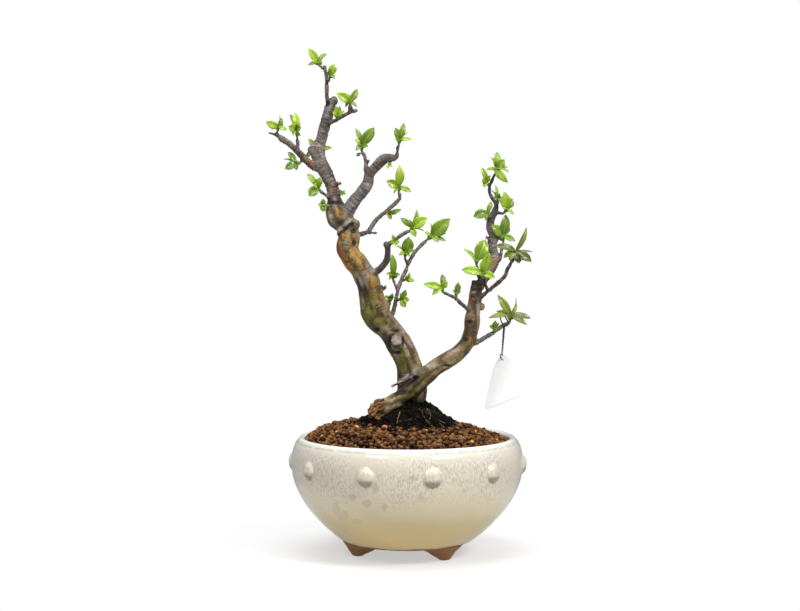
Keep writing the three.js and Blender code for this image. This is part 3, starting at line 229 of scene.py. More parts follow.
def normals_of(obj):
    """The directions in which a mesh's points face."""
    found = np.empty(len(obj.data.vertices) * 3)
    obj.data.vertices.foreach_get("normal", found)
    return found.reshape(-1, 3)


def mark(obj, name, values):
    """Keeps one number for each point, for the material to read."""
    kept = obj.data.attributes.new(name, "FLOAT", "POINT")
    kept.data.foreach_set("value", np.asarray(values, dtype=np.float32))


def modify(obj, kind, **settings):
    """Adds a modifier and applies it."""
    pick(obj)
    made = obj.modifiers.new(kind.lower(), kind)
    for name, value in settings.items():
        setattr(made, name, value)
    bpy.ops.object.modifier_apply(modifier=made.name)


def settle(obj, node, material, smooth=True):
    """Finishes a piece: its place goes into its mesh, and it stands for a node of the frame."""
    pick(obj)
    apply_place()
    if smooth:
        bpy.ops.object.shade_smooth()
    obj.data.materials.clear()
    obj.data.materials.append(material)
    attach(obj, "root")
    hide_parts(node)
    faces = sum(len(p.vertices) - 2 for p in obj.data.polygons)
    print(obj.name, "stands for", node, "with", faces, "triangles")
    return obj


clear_bench()
print("on the bench:", bpy.context.selected_objects)
# %% [markdown]
# ## Shader maths as sums
# A finish is easier to read as a sum than as a chain of boxes. This small class wraps one output of
# a material's nodes, so that mask * 0.5 + 0.2 adds the Math nodes by itself. Any other node comes
# from its one method node, which sets the node's settings first and then its sockets.
# %% The shader class
class Wire:
    """One output of a material's nodes, for use in sums."""

    def __init__(self, tree, socket=None):
        self.tree, self.socket = tree, socket

    def node(self, kind, settings=None, sockets=None, out=0):
        """Adds a node and returns one of its outputs."""
        made = self.tree.nodes.new("ShaderNode" + kind)
        for name, value in (settings or {}).items():
            setattr(made, name, value)
        for name, value in (sockets or {}).items():
            connect(made.inputs[name], value)
        return Wire(self.tree, made.outputs[out])

    def read(self, name, out=2):
        """A number that the mesh keeps on its points, or a place with out=1."""
        return self.node("Attribute", {"attribute_name": name}, out=out)

    def sum(self, kind, *values):
        """Adds a Math node."""
        return self.node("Math", {"operation": kind}, dict(enumerate(values)))

    def __add__(self, other):
        return self.sum("ADD", self, other)

    __radd__ = __add__

    def __sub__(self, other):
        return self.sum("SUBTRACT", self, other)

    def __rsub__(self, other):
        return self.sum("SUBTRACT", other, self)

    def __mul__(self, other):
        return self.sum("MULTIPLY", self, other)

    def rise(self, low, high):
        """0 below low, 1 above high, and smooth between them."""
        smooth = {"interpolation_type": "SMOOTHSTEP"}
        return self.node("MapRange", smooth, {0: self, 1: low, 2: high})

    def grains(self, scale, detail, rough, stretch=(1, 1, 1)):
        """Noise from 0 to 1 over a place, with its grains stretched."""
        place = self.node("Mapping", {}, {"Vector": self, "Scale": stretch})
        looks = {"Scale": scale, "Detail": detail, "Roughness": rough}
        return self.node("TexNoise", {}, {"Vector": place, **looks})

    def over(self, first, second):
        """The colour second where this mask is 1, and first where it is 0."""
        return self.node("Mix", {"data_type": "RGBA"}, {0: self, 6: first, 7: second}, out=2)

    def ramp(self, *stops):
        """The colour that runs through stops, each a place and a web code, as this value grows."""
        made = self.node("ValToRGB", {}, {0: self})
        elements = made.socket.node.color_ramp.elements
        elements[0].position, elements[1].position = stops[0][0], stops[-1][0]
        for place, _ in stops[1:-1]:
            elements.new(place)
        for element, (_, code) in zip(elements, stops):
            element.color = (*ink(code), 1)
        return made

    def bump(self, height, strength):
        """A normal from this height, where 1 stands height metres out."""
        return self.node("Bump", {}, {"Height": self, "Distance": height, "Strength": strength})


def connect(socket, value):
    """Links a wire to a socket, or sets the socket, with full cover added to a colour."""
    if isinstance(value, Wire):
        value.tree.links.new(value.socket, socket)
    else:
        short = isinstance(value, tuple) and len(value) == 3 and len(socket.default_value) == 4
        socket.default_value = (*value, 1) if short else value


def ink(code):
    """A colour from its six-digit web code."""
    parts = [int(code[i : i + 2], 16) / 255 for i in (0, 2, 4)]
    return tuple(c / 12.92 if c <= 0.04045 else ((c + 0.055) / 1.055) ** 2.4 for c in parts)


def finish(name):
    """A new material, as (material, the wire of the places on its object, its skin)."""
    made = bpy.data.materials.new(name)
    made.use_nodes = True
    place = Wire(made.node_tree).node("TexCoord", out=3)
    return made, place, made.node_tree.nodes["Principled BSDF"]


def dress(skin, **sockets):
    """Sets or links the sockets of a material's skin."""
    for name, value in sockets.items():
        connect(skin.inputs[name.replace("_", " ")], value)


print("white is", ink("ffffff"))
# %% [markdown]
# ## The pot's finish
# The pot is stoneware under a glossy cream glaze. The glaze is pale and streaky round the shoulder, where it
# broke into fine upright hairs, and pools to warm beige and straw towards the foot, where it is also a little
# darker as painted shade. A thin grey line shows under the lip, whose top is painted near white as a painted
# highlight. The lower half of each stud is painted darker as painted shade, and the base ring and the feet are
# bare reddish clay.
# %% Glaze and clay
glaze, place, skin = finish("cream glaze over red clay")
height = place.node("SeparateXYZ", {}, {0: place}, out=2)
low = place.read("bare")
rim = place.read("lip")
knob = place.read("knob")
cloud = place.grains(22, 3.0, 0.6)
hairs = place.grains(950, 2.0, 0.6, (1, 1, 0.34))
flecks = place.grains(1300, 1.0, 0.5, (1, 1, 0.4))
blotch = place.grains(170, 3.0, 0.65, (1, 1, 0.8))
spots = place.read("stain")
level = height + (cloud - 0.5) * 0.02
# Glaze colour that warms towards the foot, and also grows darker there as painted shade where the wall faces
# down.
body = level.ramp((0.008, "e4c27c"), (0.022, "dec07f"), (0.038, "d2bc86"), (0.055, "dcceaa"),
                  (0.072, "ded4ba"), (0.088, "dad0bb"), (0.102, "dfd9cb"))
upper = level.rise(0.04, 0.075) * (1 - level.rise(0.096, 0.102))
streaks = hairs.rise(0.5, 0.62) * upper
body = (streaks * cloud.rise(0.42, 0.58) * 0.65).over(body, ink("b9a898"))
body = (flecks.rise(0.6, 0.72) * upper * 0.4).over(body, ink("a8968a"))
body = ((1 - hairs).rise(0.52, 0.66) * upper * 0.5).over(body, ink("efe9dc"))
stain = (spots + (blotch - 0.5) * 1.6).rise(0.45, 0.75)
body = (stain * 0.5).over(body, ink("b8aa92"))
patchy = place.grains(150, 4.0, 0.75, (1, 1, 0.8)).rise(0.34, 0.64)
shade = rim.rise(0.3, 0.5) * (1 - rim.rise(0.5, 0.62)) * patchy
body = (shade * 0.7).over(body, ink("a39e95"))
# Painted highlight: the top of the lip is painted near white.
body = rim.rise(0.75, 1.0).over(body, ink("f6f4ee"))
# Painted shade: the lower half of each stud is darkened.
body = (knob.rise(0.05, 0.6) * 0.75).over(body, ink("72664c"))
earth = place.grains(260, 3.0, 0.7).over(ink("7d5434"), ink("ab8058"))
bare = low.rise(0.45, 0.55)
dress(
    skin,
    Base_Color=bare.over(body, earth),
    Roughness=bare * 0.62 + 0.16 + (cloud - 0.5) * 0.1,
    Coat_Weight=(1 - bare) * 0.9,
    Coat_Roughness=0.06,
    Specular_IOR_Level=0.5,
    Normal=(hairs * 0.25 + place.grains(60, 2.0, 0.5) * 0.75).bump(0.0006, 0.35),
)
print(glaze.name, "has", len(glaze.node_tree.nodes), "nodes")
# %% [markdown]
# ## The pot
# The real bowl was thrown on a wheel: a wall that swells to a shoulder and turns in to a thick lip.
# The same way works here. One ring of points is extruded and scaled again and again along the
# profile, from the drainage hole up the outside, over the lip and down the inside, and the two ends
# are bridged. The profile's corners are rounded first by a smooth curve.
# %% The bowl's profile
POT_SIDES = 520
OUTSIDE = [(9, 11.5), (53, 11.5), (58.4, 13.8), (69.4, 22.4), (79, 31.8), (88.6, 43.2), (96.8, 57.6),
           (100.8, 69), (102, 81), (101.2, 91), (98.6, 99), (95.4, 103.2)]
INSIDE = [(92.8, 104.1), (90.6, 103), (90.4, 99.6), (95.2, 87), (94.6, 70), (86, 47.6), (68, 28),
          (50, 17.6), (9, 17.6)]


def between(a, b, c, d, t):
    """The middle part of the smooth curve through four rows of numbers, at t from 0 to 1."""
    def gap(p, q):
        return max(math.dist(p[:3], q[:3]) ** 0.5, 1e-3)

    def mix(p, q, start, end):
        return p + (q - p) * (s - start) / (end - start)

    k1 = gap(a, b)
    k2 = k1 + gap(b, c)
    k3 = k2 + gap(c, d)
    s = k1 + (k2 - k1) * t
    ab, bc, cd = mix(a, b, 0, k1), mix(b, c, k1, k2), mix(c, d, k2, k3)
    return mix(mix(ab, bc, 0, k2), mix(bc, cd, k1, k3), k1, k2)


def course(rows, step):
    """Rows about step apart on the smooth curve through rows, with the way along added to each."""
    rows = [np.array(r, dtype=float) for r in rows]
    rows = [2 * rows[0] - rows[1], *rows, 2 * rows[-1] - rows[-2]]
    spans = [rows[i - 1 : i + 3] for i in range(1, len(rows) - 2)]
    fine = np.array([*(between(*span, k / 12) for span in spans for k in range(12)), rows[-2]])
    along = np.append(0, np.cumsum(np.linalg.norm(np.diff(fine[:, :3], axis=0), axis=1)))
    count = max(1, round(along[-1] / step))
    ways = np.linspace(0, along[-1], count + 1)
    found = [np.interp(ways, along, fine[:, k]) for k in range(fine.shape[1])]
    return np.stack([*found, ways], axis=1)


outside = course([(r, z, 0) for r, z in OUTSIDE[1:]], 1.35)[:, :2].tolist()
inside = course([(r, z, 0) for r, z in [OUTSIDE[-1], *INSIDE[:6]]], 2.2)[1:, :2].tolist()
profile = [OUTSIDE[0], (30, 11.5), *outside, *inside, *INSIDE[6:]]
print("the profile has", len(profile), "rings")
# %% Throwing the bowl
clear_bench()
start = (POT_X * MM, 0, profile[0][1] * MM)
bpy.ops.mesh.primitive_circle_add(vertices=POT_SIDES, radius=profile[0][0] * MM, location=start)
bowl = bpy.context.object
bowl.name = "glazed_bowl"
bpy.ops.object.mode_set(mode="EDIT")
for (r0, z0), (r1, z1) in zip(profile, profile[1:]):
    bpy.ops.mesh.extrude_region_move(TRANSFORM_OT_translate={"value": (0, 0, (z1 - z0) * MM)})
    bpy.ops.transform.resize(value=(r1 / r0, r1 / r0, 1), center_override=(POT_X * MM, 0, z1 * MM))
close_edges(bpy.ops.mesh.bridge_edge_loops)
pick(bowl)
apply_place()
print("the bowl has", len(bowl.data.polygons), "faces")
# %% [markdown]
# ## Studs, lip and small unevenness
# Ten low domed studs ring the shoulder. They were pressed on before glazing, so they melt into the
# wall: the wall's own points are pushed out, which gives that soft foot without a seam. A hand-thrown
# wall also wavers by a few tenths of a millimetre, which breaks its highlights.
# %% Studs
STUD_Z, STUD_REACH, STUD_PROUD, WALL_REACH = 80.6, 7.9, 3.45, 102
GLAZE_FROM, WAVER = 13.4, 0.28
STUD_ANGLES = [-95, -55.5, -20, 12, 45.5, 83, 119.4, 155.8, 192.2, 228.6]
points = points_of(bowl)
across = points[:, 0] - POT_X
radius = np.hypot(across, points[:, 1])
outer = (radius > 97) & (points[:, 2] > 60) & (points[:, 2] < 102)
out = np.stack([across / radius, points[:, 1] / radius], axis=1)
push = np.zeros(len(points))
for degrees in STUD_ANGLES:
    a = math.radians(degrees)
    near = out @ np.array([math.sin(a), -math.cos(a)])
    side = np.arccos(np.clip(near, -1, 1)) * WALL_REACH
    share = np.hypot(side, (points[:, 2] - STUD_Z) * 0.96) / STUD_REACH
    dome = np.clip(1 - share**2, 0, 1) ** 0.5
    push = np.maximum(push, dome * outer)
waver = np.array([noise.noise(Vector(p) * 0.035) for p in points]) * WAVER * (radius > 60)
grown = radius + push * STUD_PROUD + waver
points[:, 0] = POT_X + out[:, 0] * grown
points[:, 1] = out[:, 1] * grown
put_points(bowl, points)
# Painted shade: each stud is marked darker below its middle, away from the light above.
below = np.clip((STUD_Z - points[:, 2]) / 7, 0, 1)
mark(bowl, "knob", np.clip(push * 3, 0, 1) * below)
lip = np.interp(points[:, 2], [98.4, 100.3, 101.8, 103], [0, 0.5, 0.56, 1]) * (radius > 89.5)
mark(bowl, "lip", np.where(radius < 91.6, np.clip(lip * 2, 0, 1), lip))
STAINS = [(343, 517, 8, 5), (336, 511, 5, 8), (375, 490, 4, 6), (367, 505, 6, 5), (384, 509, 4, 5),
          (421, 497, 3, 5), (352, 498, 5, 4), (412, 480, 7, 3), (358, 523, 8, 3)]
mark(bowl, "stain", spotted(points, STAINS, 1.4) * (points[:, 1] < 0) * (radius > 50))
edge = GLAZE_FROM + 0.5 * np.sin(out[:, 0] * 9)
mark(bowl, "bare", np.clip((edge - points[:, 2]) * 0.8 + 0.5, 0, 1) * (radius > 5))
print("studs pushed out:", len(STUD_ANGLES))
# %% [markdown]
# ## The feet
# Three low lobed feet carry the bowl. Each starts as a ring under the bowl, is extruded down section
# by section while it narrows and leans out, and is closed with a flat face that stands on z = 0.
# %% Feet
FOOT_SIDES, FOOT_BEARINGS = 48, (-164, -44, -284)
FOOT_SECTIONS = [  # height, reach from the axis, half length, half width
    (13.5, 37, 21.5, 25.4), (11.4, 38, 19, 22), (9, 39.4, 16, 17.6), (7, 40.3, 13.9, 11.9),
    (5.2, 41.4, 11.8, 10.2), (3.1, 43, 8.8, 8), (1.7, 44.5, 6.4, 6.3), (0.6, 45, 4.9, 4.9),
    (0, 44.6, 3.9, 3.9),
]


def foot(degrees):
    """One foot, turned about the pot's axis to its bearing."""
    clear_bench()
    z, middle, long, wide = FOOT_SECTIONS[0]
    start = (middle * MM, 0, z * MM)
    bpy.ops.mesh.primitive_circle_add(vertices=FOOT_SIDES, radius=MM, location=start)
    made = bpy.context.object
    bpy.ops.object.mode_set(mode="EDIT")
    bpy.ops.transform.resize(value=(long, wide, 1), center_override=start)
    for (z0, m0, l0, w0), (z1, m1, l1, w1) in zip(FOOT_SECTIONS, FOOT_SECTIONS[1:]):
        move = ((m1 - m0) * MM, 0, (z1 - z0) * MM)
        bpy.ops.mesh.extrude_region_move(TRANSFORM_OT_translate={"value": move})
        bpy.ops.transform.resize(value=(l1 / l0, w1 / w0, 1), center_override=(m1 * MM, 0, z1 * MM))
    close_edges(bpy.ops.mesh.edge_face_add)
    bpy.ops.transform.rotate(value=-math.radians(degrees), orient_axis="Z", center_override=(0, 0, 0))
    bpy.ops.transform.translate(value=(POT_X * MM, 0, 0))
    bpy.ops.object.mode_set(mode="OBJECT")
    mark(made, "bare", np.ones(len(made.data.vertices)))
    return made


feet = [foot(a) for a in FOOT_BEARINGS]
print("feet at", [points_of(f).mean(axis=0).round().tolist() for f in feet], "mm")
# %% Firing the pot in one piece
settle(join(bowl, *feet), "pot", glaze)
# %% [markdown]
# ## The mesh over the drainage hole
# The square of plastic mesh has the right shape already, so it stays and only gets its finish.
# %% Mesh plastic
mesh_black, place, skin = finish("black mesh plastic")
dust = place.grains(500, 3.0, 0.6)
dress(
    skin,
    Base_Color=dust.rise(0.4, 0.7).over(ink("1b1b1a"), ink("45403a")),
    Roughness=dust * 0.3 + 0.45,
    Normal=dust.bump(0.0002, 0.4),
)
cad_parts["drain_screen"].material_slots[0].material = mesh_black
print("the mesh has its finish:", mesh_black.name)
# %% [markdown]
# ## The soil's finish
# The bed is fired clay soil: brown grains of about 3 mm, a little redder or yellower from one to the next. Each
# grain carries its own tone, painted lighter on top and darker underneath as painted light and shade, and the
# gaps between the grains are painted near black as painted shade.
# %% Soil brown
soil_brown, place, skin = finish("clay grains")
tone = place.read("tone")
# The darkest stops carry the painted shade of the gaps and of the grains' undersides.
colour = tone.ramp((0.0, "080402"), (0.25, "1c0f08"), (0.52, "432a18"), (0.8, "6b4628"), (1.0, "8f663c"))
crumb = place.grains(1400, 3.0, 0.7)
colour = (crumb.rise(0.5, 0.75) * 0.4).over(colour, ink("2a180c"))
dress(skin, Base_Color=colour, Roughness=0.9, Specular_IOR_Level=0.15, Normal=crumb.bump(0.0009, 0.7))
print(soil_brown.name, "is ready")
# %% [markdown]
# ## The bed and its grains
# A mound painted near black fills the pot, as painted shade between the grains, and three layers of grains lie
# on it, the lowest one painted darker as painted shade. One grain is modelled, as a cube cut once and rounded,
# and thousands of copies are squashed, turned and toned by chance. They go into two meshes, because each piece
# should stay small.
# %% The mound
SOIL = [  # distance from the pot's axis, height
    (0, 115.4), (24, 115), (40, 114), (49, 112.9), (58, 111.3), (66, 109.8), (74, 107.6), (80, 105),
    (86, 101.6), (90.2, 98.6),
]
BED_SIDES, BED_REACH, GRAINS_REACH = 96, 88, 89.6
BALL = at(404.4, 425, -5)


def ball_reach(a):
    """How far the root ball reaches at a bearing."""
    return 40 * (1 + 0.08 * np.cos(2 * a) + 0.03 * np.cos(a))


def soil_height(x, y):
    """The height of the bed at a place."""
    r = np.hypot(x - POT_X, y)
    lean = -2.6 * np.sin(np.pi * np.clip(r / 90, 0, 1) ** 3) * (x - POT_X) / np.maximum(r, 1)
    sunk = np.clip((x - POT_X) / np.maximum(r, 1), 0, 1) * np.clip((r - 50) / 30, 0, 1) * 1.6
    return np.interp(r, *zip(*SOIL)) + lean - sunk


clear_bench()
bpy.ops.mesh.primitive_circle_add(vertices=BED_SIDES, radius=BED_REACH * MM, fill_type="TRIFAN",
                                  location=(POT_X * MM, 0, 90 * MM))
bed = bpy.context.object
bed.name = "soil_bed"
bpy.ops.object.mode_set(mode="EDIT")
bpy.ops.mesh.subdivide(number_cuts=12)
bpy.ops.mesh.extrude_region_move(TRANSFORM_OT_translate={"value": (0, 0, 10 * MM)})
pick(bed)
apply_place()
points = points_of(bed)
top = points[:, 2] > 95
points[top, 2] = soil_height(points[top, 0], points[top, 1]) - 2.4
spread = np.where(top, 1.022, 1.045)[:, None]
points[:, :2] = (points[:, :2] - [POT_X, 0]) * spread + [POT_X, 0]
put_points(bed, points)
# Tone 0 is the darkest soil colour: painted shade in the gaps between the grains.
mark(bed, "tone", np.zeros(len(points)))
settle(bed, "soil", soil_brown)
# %% One grain and its copies
clear_bench()
bpy.ops.mesh.primitive_cube_add(size=2)
grain = bpy.context.object
bpy.ops.object.mode_set(mode="EDIT")
bpy.ops.mesh.subdivide(number_cuts=1)
bpy.ops.transform.tosphere(value=0.8)
bpy.ops.object.mode_set(mode="OBJECT")
GRAIN = np.array([tuple(v.co) for v in grain.data.vertices])
GRAIN_FACES = np.array([tuple(p.vertices) for p in grain.data.polygons])
bpy.data.objects.remove(grain)
dice = np.random.default_rng(7)


def scatter(name, places, sizes, tones, rough=0.22):
    """Copies of the grain at places, each with its own size, squash, turn and tone, in one mesh, with each copy
    painted lighter on top and darker underneath as painted light and shade.
    """
    n = len(places)
    turn = np.linalg.qr(dice.normal(size=(n, 3, 3)))[0]
    turn[np.linalg.det(turn) < 0, 0] *= -1
    shape = GRAIN[None] * (1 + rough * dice.uniform(-1, 1, (n, len(GRAIN), 1)))
    shape = shape * dice.uniform(0.78, 1.12, (n, 1, 3)) * np.reshape(sizes, (n, 1, 1)) / 2
    points = np.einsum("nij,nkj->nki", turn, shape) + np.asarray(places)[:, None]
    faces = GRAIN_FACES[None] + (np.arange(n) * len(GRAIN))[:, None, None]
    made = from_points(name, points.reshape(-1, 3), faces.reshape(-1, 4).tolist())
    # Painted light and shade: a grain's tone rises towards its top and falls towards its underside.
    up = (points[:, :, 2] - np.asarray(places)[:, None, 2]) / np.reshape(sizes, (n, 1)) * 2
    mark(made, "tone", np.clip(np.asarray(tones)[:, None] + 0.34 * up - 0.04, 0, 1).ravel())
    return made


def layer(spacing, lift, share):
    """Places of one layer of grains over the bed."""
    across = np.arange(-92, 93, spacing)
    x, y = np.meshgrid(across, across * 0.9)
    x[::2] += spacing / 2
    x, y = (c.ravel() + dice.uniform(-0.36, 0.36, c.size) * spacing for c in (x, y))
    keep = (np.hypot(x, y) < GRAINS_REACH) & (dice.uniform(0, 1, x.size) < share)
    x, y = x[keep] + POT_X, y[keep]
    a = np.arctan2(y - BALL[1], x - BALL[0])
    clear = np.hypot(x - BALL[0], y - BALL[1]) > ball_reach(a) * 0.86
    x, y = x[clear], y[clear]
    return np.stack([x, y, soil_height(x, y) + lift + dice.normal(0, 0.7, x.size)], axis=1)


low = layer(2.9, -2.1, 1.0)
high = layer(3.1, -0.1, 0.72)
heap = layer(4.2, 1.3, 0.42)
top = np.vstack([high, heap])
# The low layer's darker tone is painted shade deep in the bed.
for name, places, tone in (("soil_grains_low", low, 0.14), ("soil_grains_top", top, 0.5)):
    tones = np.clip(dice.normal(tone, 0.2, len(places)), 0, 1)
    sizes = np.clip(dice.normal(3.1, 0.5, len(places)), 2, 4.4)
    settle(scatter(name, places, sizes, tones), "soil", soil_brown)
print("grains:", len(low) + len(high) + len(heap))
# %% [markdown]
# ## Pellets and stones
# A few yellow feed pellets and odd stones lie on the bed. Each is named by its place on the front
# view: the line of sight through that place is followed back until it meets the bed.
# %% Pellets and stones
odd_bits, place, skin = finish("pellets and stones")
tone = place.read("tone")
speck = place.grains(900, 2.0, 0.6)
kinds = tone.ramp((0.0, "c98a12"), (0.3, "e0a92c"), (0.5, "b06b4a"), (0.75, "aab0b4"), (1.0, "e6dfd2"))
dress(
    skin,
    Base_Color=(speck.rise(0.5, 0.75) * 0.4).over(kinds, ink("6a4424")),
    Roughness=0.45 + speck * 0.3,
    Normal=speck.bump(0.0006, 0.6),
)
BITS = [  # u, v, size in mm, tone
    (356.6, 428.2, 3.8, 0.2), (425.9, 432.3, 3.6, 0.25), (475.4, 432.3, 3.4, 0.25),
    (472.3, 442.9, 3.8, 0.1), (445.9, 438.6, 3.2, 0.3), (384.8, 430, 6, 0.5), (379, 427, 4, 0.75),
    (443.6, 432, 2.6, 1.0), (408.6, 434.4, 1.8, 0.95), (391, 427.6, 2.4, 0.8), (336.4, 433, 1.9, 1.0),
    (461, 437.4, 1.7, 0.95), (497, 441, 2.8, 0.2), (322, 437, 2.4, 0.25),
]


def in_bed(p):
    """Whether a point lies in the bed, or just over it."""
    return p[2] < soil_height(p[0], p[1]) + 1.2


places = [first_inside(u, v, np.arange(-88, 60, 0.5), in_bed) for u, v, _, _ in BITS]
bits = scatter("pellets_and_stones", places, [size for _, _, size, _ in BITS], [0] * len(BITS), 0.08)
bits.data.attributes.remove(bits.data.attributes["tone"])
mark(bits, "tone", np.repeat([tone for _, _, _, tone in BITS], len(GRAIN)))
modify(bits, "SUBSURF", levels=2)
settle(bits, "soil", odd_bits)
# %% [markdown]
# ## The root ball
# Round the foot of the tree stands the old root ball: black peat, matted with fine roots and a
# little moss. A round mound of points is pushed into lumps, and over a thousand thin root threads
# are laid over it, most of them near black. A few longer brown roots run down its right slope or
# stand off it in loops, and two pale ones hang where the front view shows them.
# %% Peat and roots
peat, place, skin = finish("root peat")
tone = place.read("tone")
clod, fine = place.grains(260, 3.0, 0.7), place.grains(900, 2.0, 0.7)
colour = clod.rise(0.42, 0.66).over(ink("040303"), ink("15100b"))
colour = (fine.rise(0.62, 0.7) * 0.6).over(colour, ink("2c3323"))
colour = tone.rise(0.02, 0.8).over(colour, ink("a08564"))
dress(
    skin,
    Base_Color=colour,
    Roughness=0.6,
    Specular_IOR_Level=0.07,
    Normal=(clod * 0.6 + fine * 0.4).bump(0.002, 0.9),
)
clear_bench()
bpy.ops.mesh.primitive_uv_sphere_add(segments=160, ring_count=100, radius=MM, location=(0, 0, 0))
ball = bpy.context.object
ball.name = "root_mound"
rows = points_of(ball)
a = np.arctan2(rows[:, 1], rows[:, 0])
level = np.clip(rows[:, 2], -1, 1)
BALL_SIDE = [  # height, share of the ball's reach
    (104, 1.05), (112, 1.05), (117.6, 0.93), (122, 0.77), (127.2, 0.63), (133, 0.49), (135.6, 0.2),
    (136, 0.0),
]
z = np.where(level > 0, 106 + 30 * level, 106 + 2 * level)
under = np.sqrt(1 - np.clip(level, -1, 0) ** 2)
share = np.where(level > 0, np.interp(z, *zip(*BALL_SIDE)), under)


def ball_lump(t, h):
    """How lumpy the root ball is at a bearing and a height."""
    return noise.fractal(Vector((math.cos(t) * 2, math.sin(t) * 2, h * 0.09)), 0.7, 2.2, 5)


lump = np.array([ball_lump(t, h) for t, h in zip(a, z)])
reach = ball_reach(a) * share * (1 + 0.08 * lump * (level > 0)) - 0.6
rise = 1.8 * lump * (share > 0.3) * (level > 0.1)
rows = np.stack([BALL[0] + np.cos(a) * reach, BALL[1] + np.sin(a) * reach, z + rise], axis=1)


def clear_trunk(points):
    """Moves points back that would stand before the second trunk's foot."""
    points = np.array(points, dtype=float)
    u, v = on_view(points)
    edge = np.interp(u, [362, 368, 384, 400, 410, 424], [426, 421, 417.4, 411, 404, 394])
    deep = np.clip((edge - v) / 1.5, 0, 1) * (points[:, 1] < -10) * (u < 426)
    points[:, 1] += deep * (-10 - points[:, 1])
    return points


put_points(ball, clear_trunk(rows))
mark(ball, "tone", np.zeros(len(rows)))
settle(ball, "root_ball", peat)
# %% Root threads
THREADS, CLODS, SPILLED_CLODS = 1500, 1500, 420


def ring_faces(count, sides, start=0):
    """The faces between rings of points that lie one after another."""
    rings = [start + i * sides for i in range(count)]
    return [(a + k, a + (k + 1) % sides, b + (k + 1) % sides, b + k)
            for a, b in zip(rings, rings[1:]) for k in range(sides)]


def thread(path, thick, tone, sides):
    """A thin root along a path, as points, faces and tones."""
    path = np.asarray(path)
    heading = np.gradient(path, axis=0)
    heading /= np.linalg.norm(heading, axis=1)[:, None] + 1e-9
    front = np.cross(heading, [0.3, 0.5, 0.81])
    front /= np.linalg.norm(front, axis=1)[:, None] + 1e-9
    side = np.cross(heading, front)
    n = len(path)
    taper = thick * (1 - 0.55 * np.linspace(0, 1, n)) / 2
    turns = np.arange(sides) * 2 * np.pi / sides
    around = np.cos(turns)[:, None] * front[:, None] + np.sin(turns)[:, None] * side[:, None]
    points = path[:, None] + around * taper[:, None, None]
    ends = [tuple(range(sides - 1, -1, -1)), tuple((n - 1) * sides + k for k in range(sides))]
    return points.reshape(-1, 3), ring_faces(n, sides) + ends, [tone] * (n * sides)


def ball_point(a, z, out=0.0):
    """A place on the root ball's skin."""
    share = np.interp(z, *zip(*BALL_SIDE))
    r = ball_reach(a) * share * (1 + 0.08 * ball_lump(a, z)) + out
    return np.array([BALL[0] + math.cos(a) * r, BALL[1] + math.sin(a) * r, z])


def gather(name, parts):
    """One mesh from many parts, each given as its points, faces and tones."""
    points, faces, tones = [], [], []
    for p, f, t in parts:
        start = len(points)
        points.extend(p)
        faces.extend(tuple(start + i for i in face) for face in f)
        tones.extend(t)
    made = from_points(name, points, faces)
    mark(made, "tone", tones)
    return made


strands = []
for i in range(THREADS):
    a, z = dice.uniform(-math.pi, math.pi), dice.uniform(111, 134)
    turn, drop = dice.normal(0, 0.05), dice.uniform(-2.4, 0.9)
    path = []
    for k in range(int(dice.integers(5, 11))):
        path.append(ball_point(a, np.clip(z, 108, 134.5), dice.uniform(-0.3, 2.6)))
        turn += dice.normal(0, 0.05)
        a, z = a + turn, z + drop + dice.normal(0, 0.7)
    tone = dice.choice([0.0, 0.03, 0.07, 0.14, 0.3], p=[0.4, 0.24, 0.2, 0.13, 0.03])
    path = clear_trunk(path)
    strands.append(thread(path, dice.uniform(0.5, 1.5) * (0.6 if tone > 0.2 else 1), tone, 3))


def in_ball(p):
    """Whether a point lies in the root ball or among its outermost roots."""
    skin = ball_point(math.atan2(p[1] - BALL[1], p[0] - BALL[0]), p[2], 2.7)
    return math.dist(p[:2], BALL[:2]) < math.dist(skin[:2], BALL[:2])


HANGING_ROOTS = [[(400, 412), (398.6, 417), (397.4, 421), (397, 424)],
                 [(427, 409), (430.6, 414.6), (430, 419), (427, 423)]]
for row in HANGING_ROOTS:
    row = [first_inside(u, v, np.arange(-60, 0, 0.4), in_ball) for u, v in row]
    strands.append(thread(course([[*p, 0] for p in row], 1.2)[:, :3], 0.9, 0.55, 6))
SLOPE_ROOTS = [  # first and last bearing, how far a loop stands off, tone, thickness
    (-1.0, -0.85, 0, 0.36, 1.1), (-0.8, -0.5, 0, 0.32, 1.3), (-0.66, -0.36, 0, 0.4, 1),
    (-0.45, -0.1, 0, 0.3, 1.2), (-0.3, 0.05, 0, 0.36, 0.9), (-1.05, -0.6, 4, 0.2, 0.8),
    (-0.85, -0.45, 5, 0.16, 0.8), (-0.7, -0.3, 4, 0.22, 0.7),
]
for first, last, out, tone, thick in SLOPE_ROOTS:
    path = []
    for t in np.linspace(0, 1, 14):
        a = first + (last - first) * t + 0.06 * noise.noise(Vector((first * 9, t * 4, 2)))
        z = 131 - (9 if out else 24) * t
        path.append(ball_point(a, z, 1.5 + out * math.sin(math.pi * t)))
    strands.append(thread(path, thick, tone, 6))
settle(gather("root_threads", strands), "root_ball", peat)
# %% [markdown]
# ## Clods of peat
# Crumbs of black peat cling between the roots, thickest low on the ball, and spill a little way over
# the bed. They are copies of the same grain as the soil's.
# %% Clods
places = []
for i in range(CLODS):
    a, z = dice.uniform(-math.pi, math.pi), 134 - 22 * dice.uniform(0, 1) ** 0.8
    places.append(ball_point(a, z, dice.uniform(-0.6, 0.9)))
for i in range(SPILLED_CLODS):
    a, out = dice.uniform(-math.pi, math.pi), dice.uniform(0, 1) ** 1.6 * 9
    r = ball_reach(a) + out
    x, y = BALL[0] + math.cos(a) * r, BALL[1] + math.sin(a) * r
    places.append(np.array([x, y, soil_height(x, y) + 1.2]))
sizes = np.clip(dice.normal(2.1, 0.7, len(places)), 0.9, 4)
clods = scatter("root_clods", clear_trunk(places), sizes, dice.uniform(-0.42, -0.24, len(places)), 0.15)
settle(clods, "root_ball", peat, smooth=False)
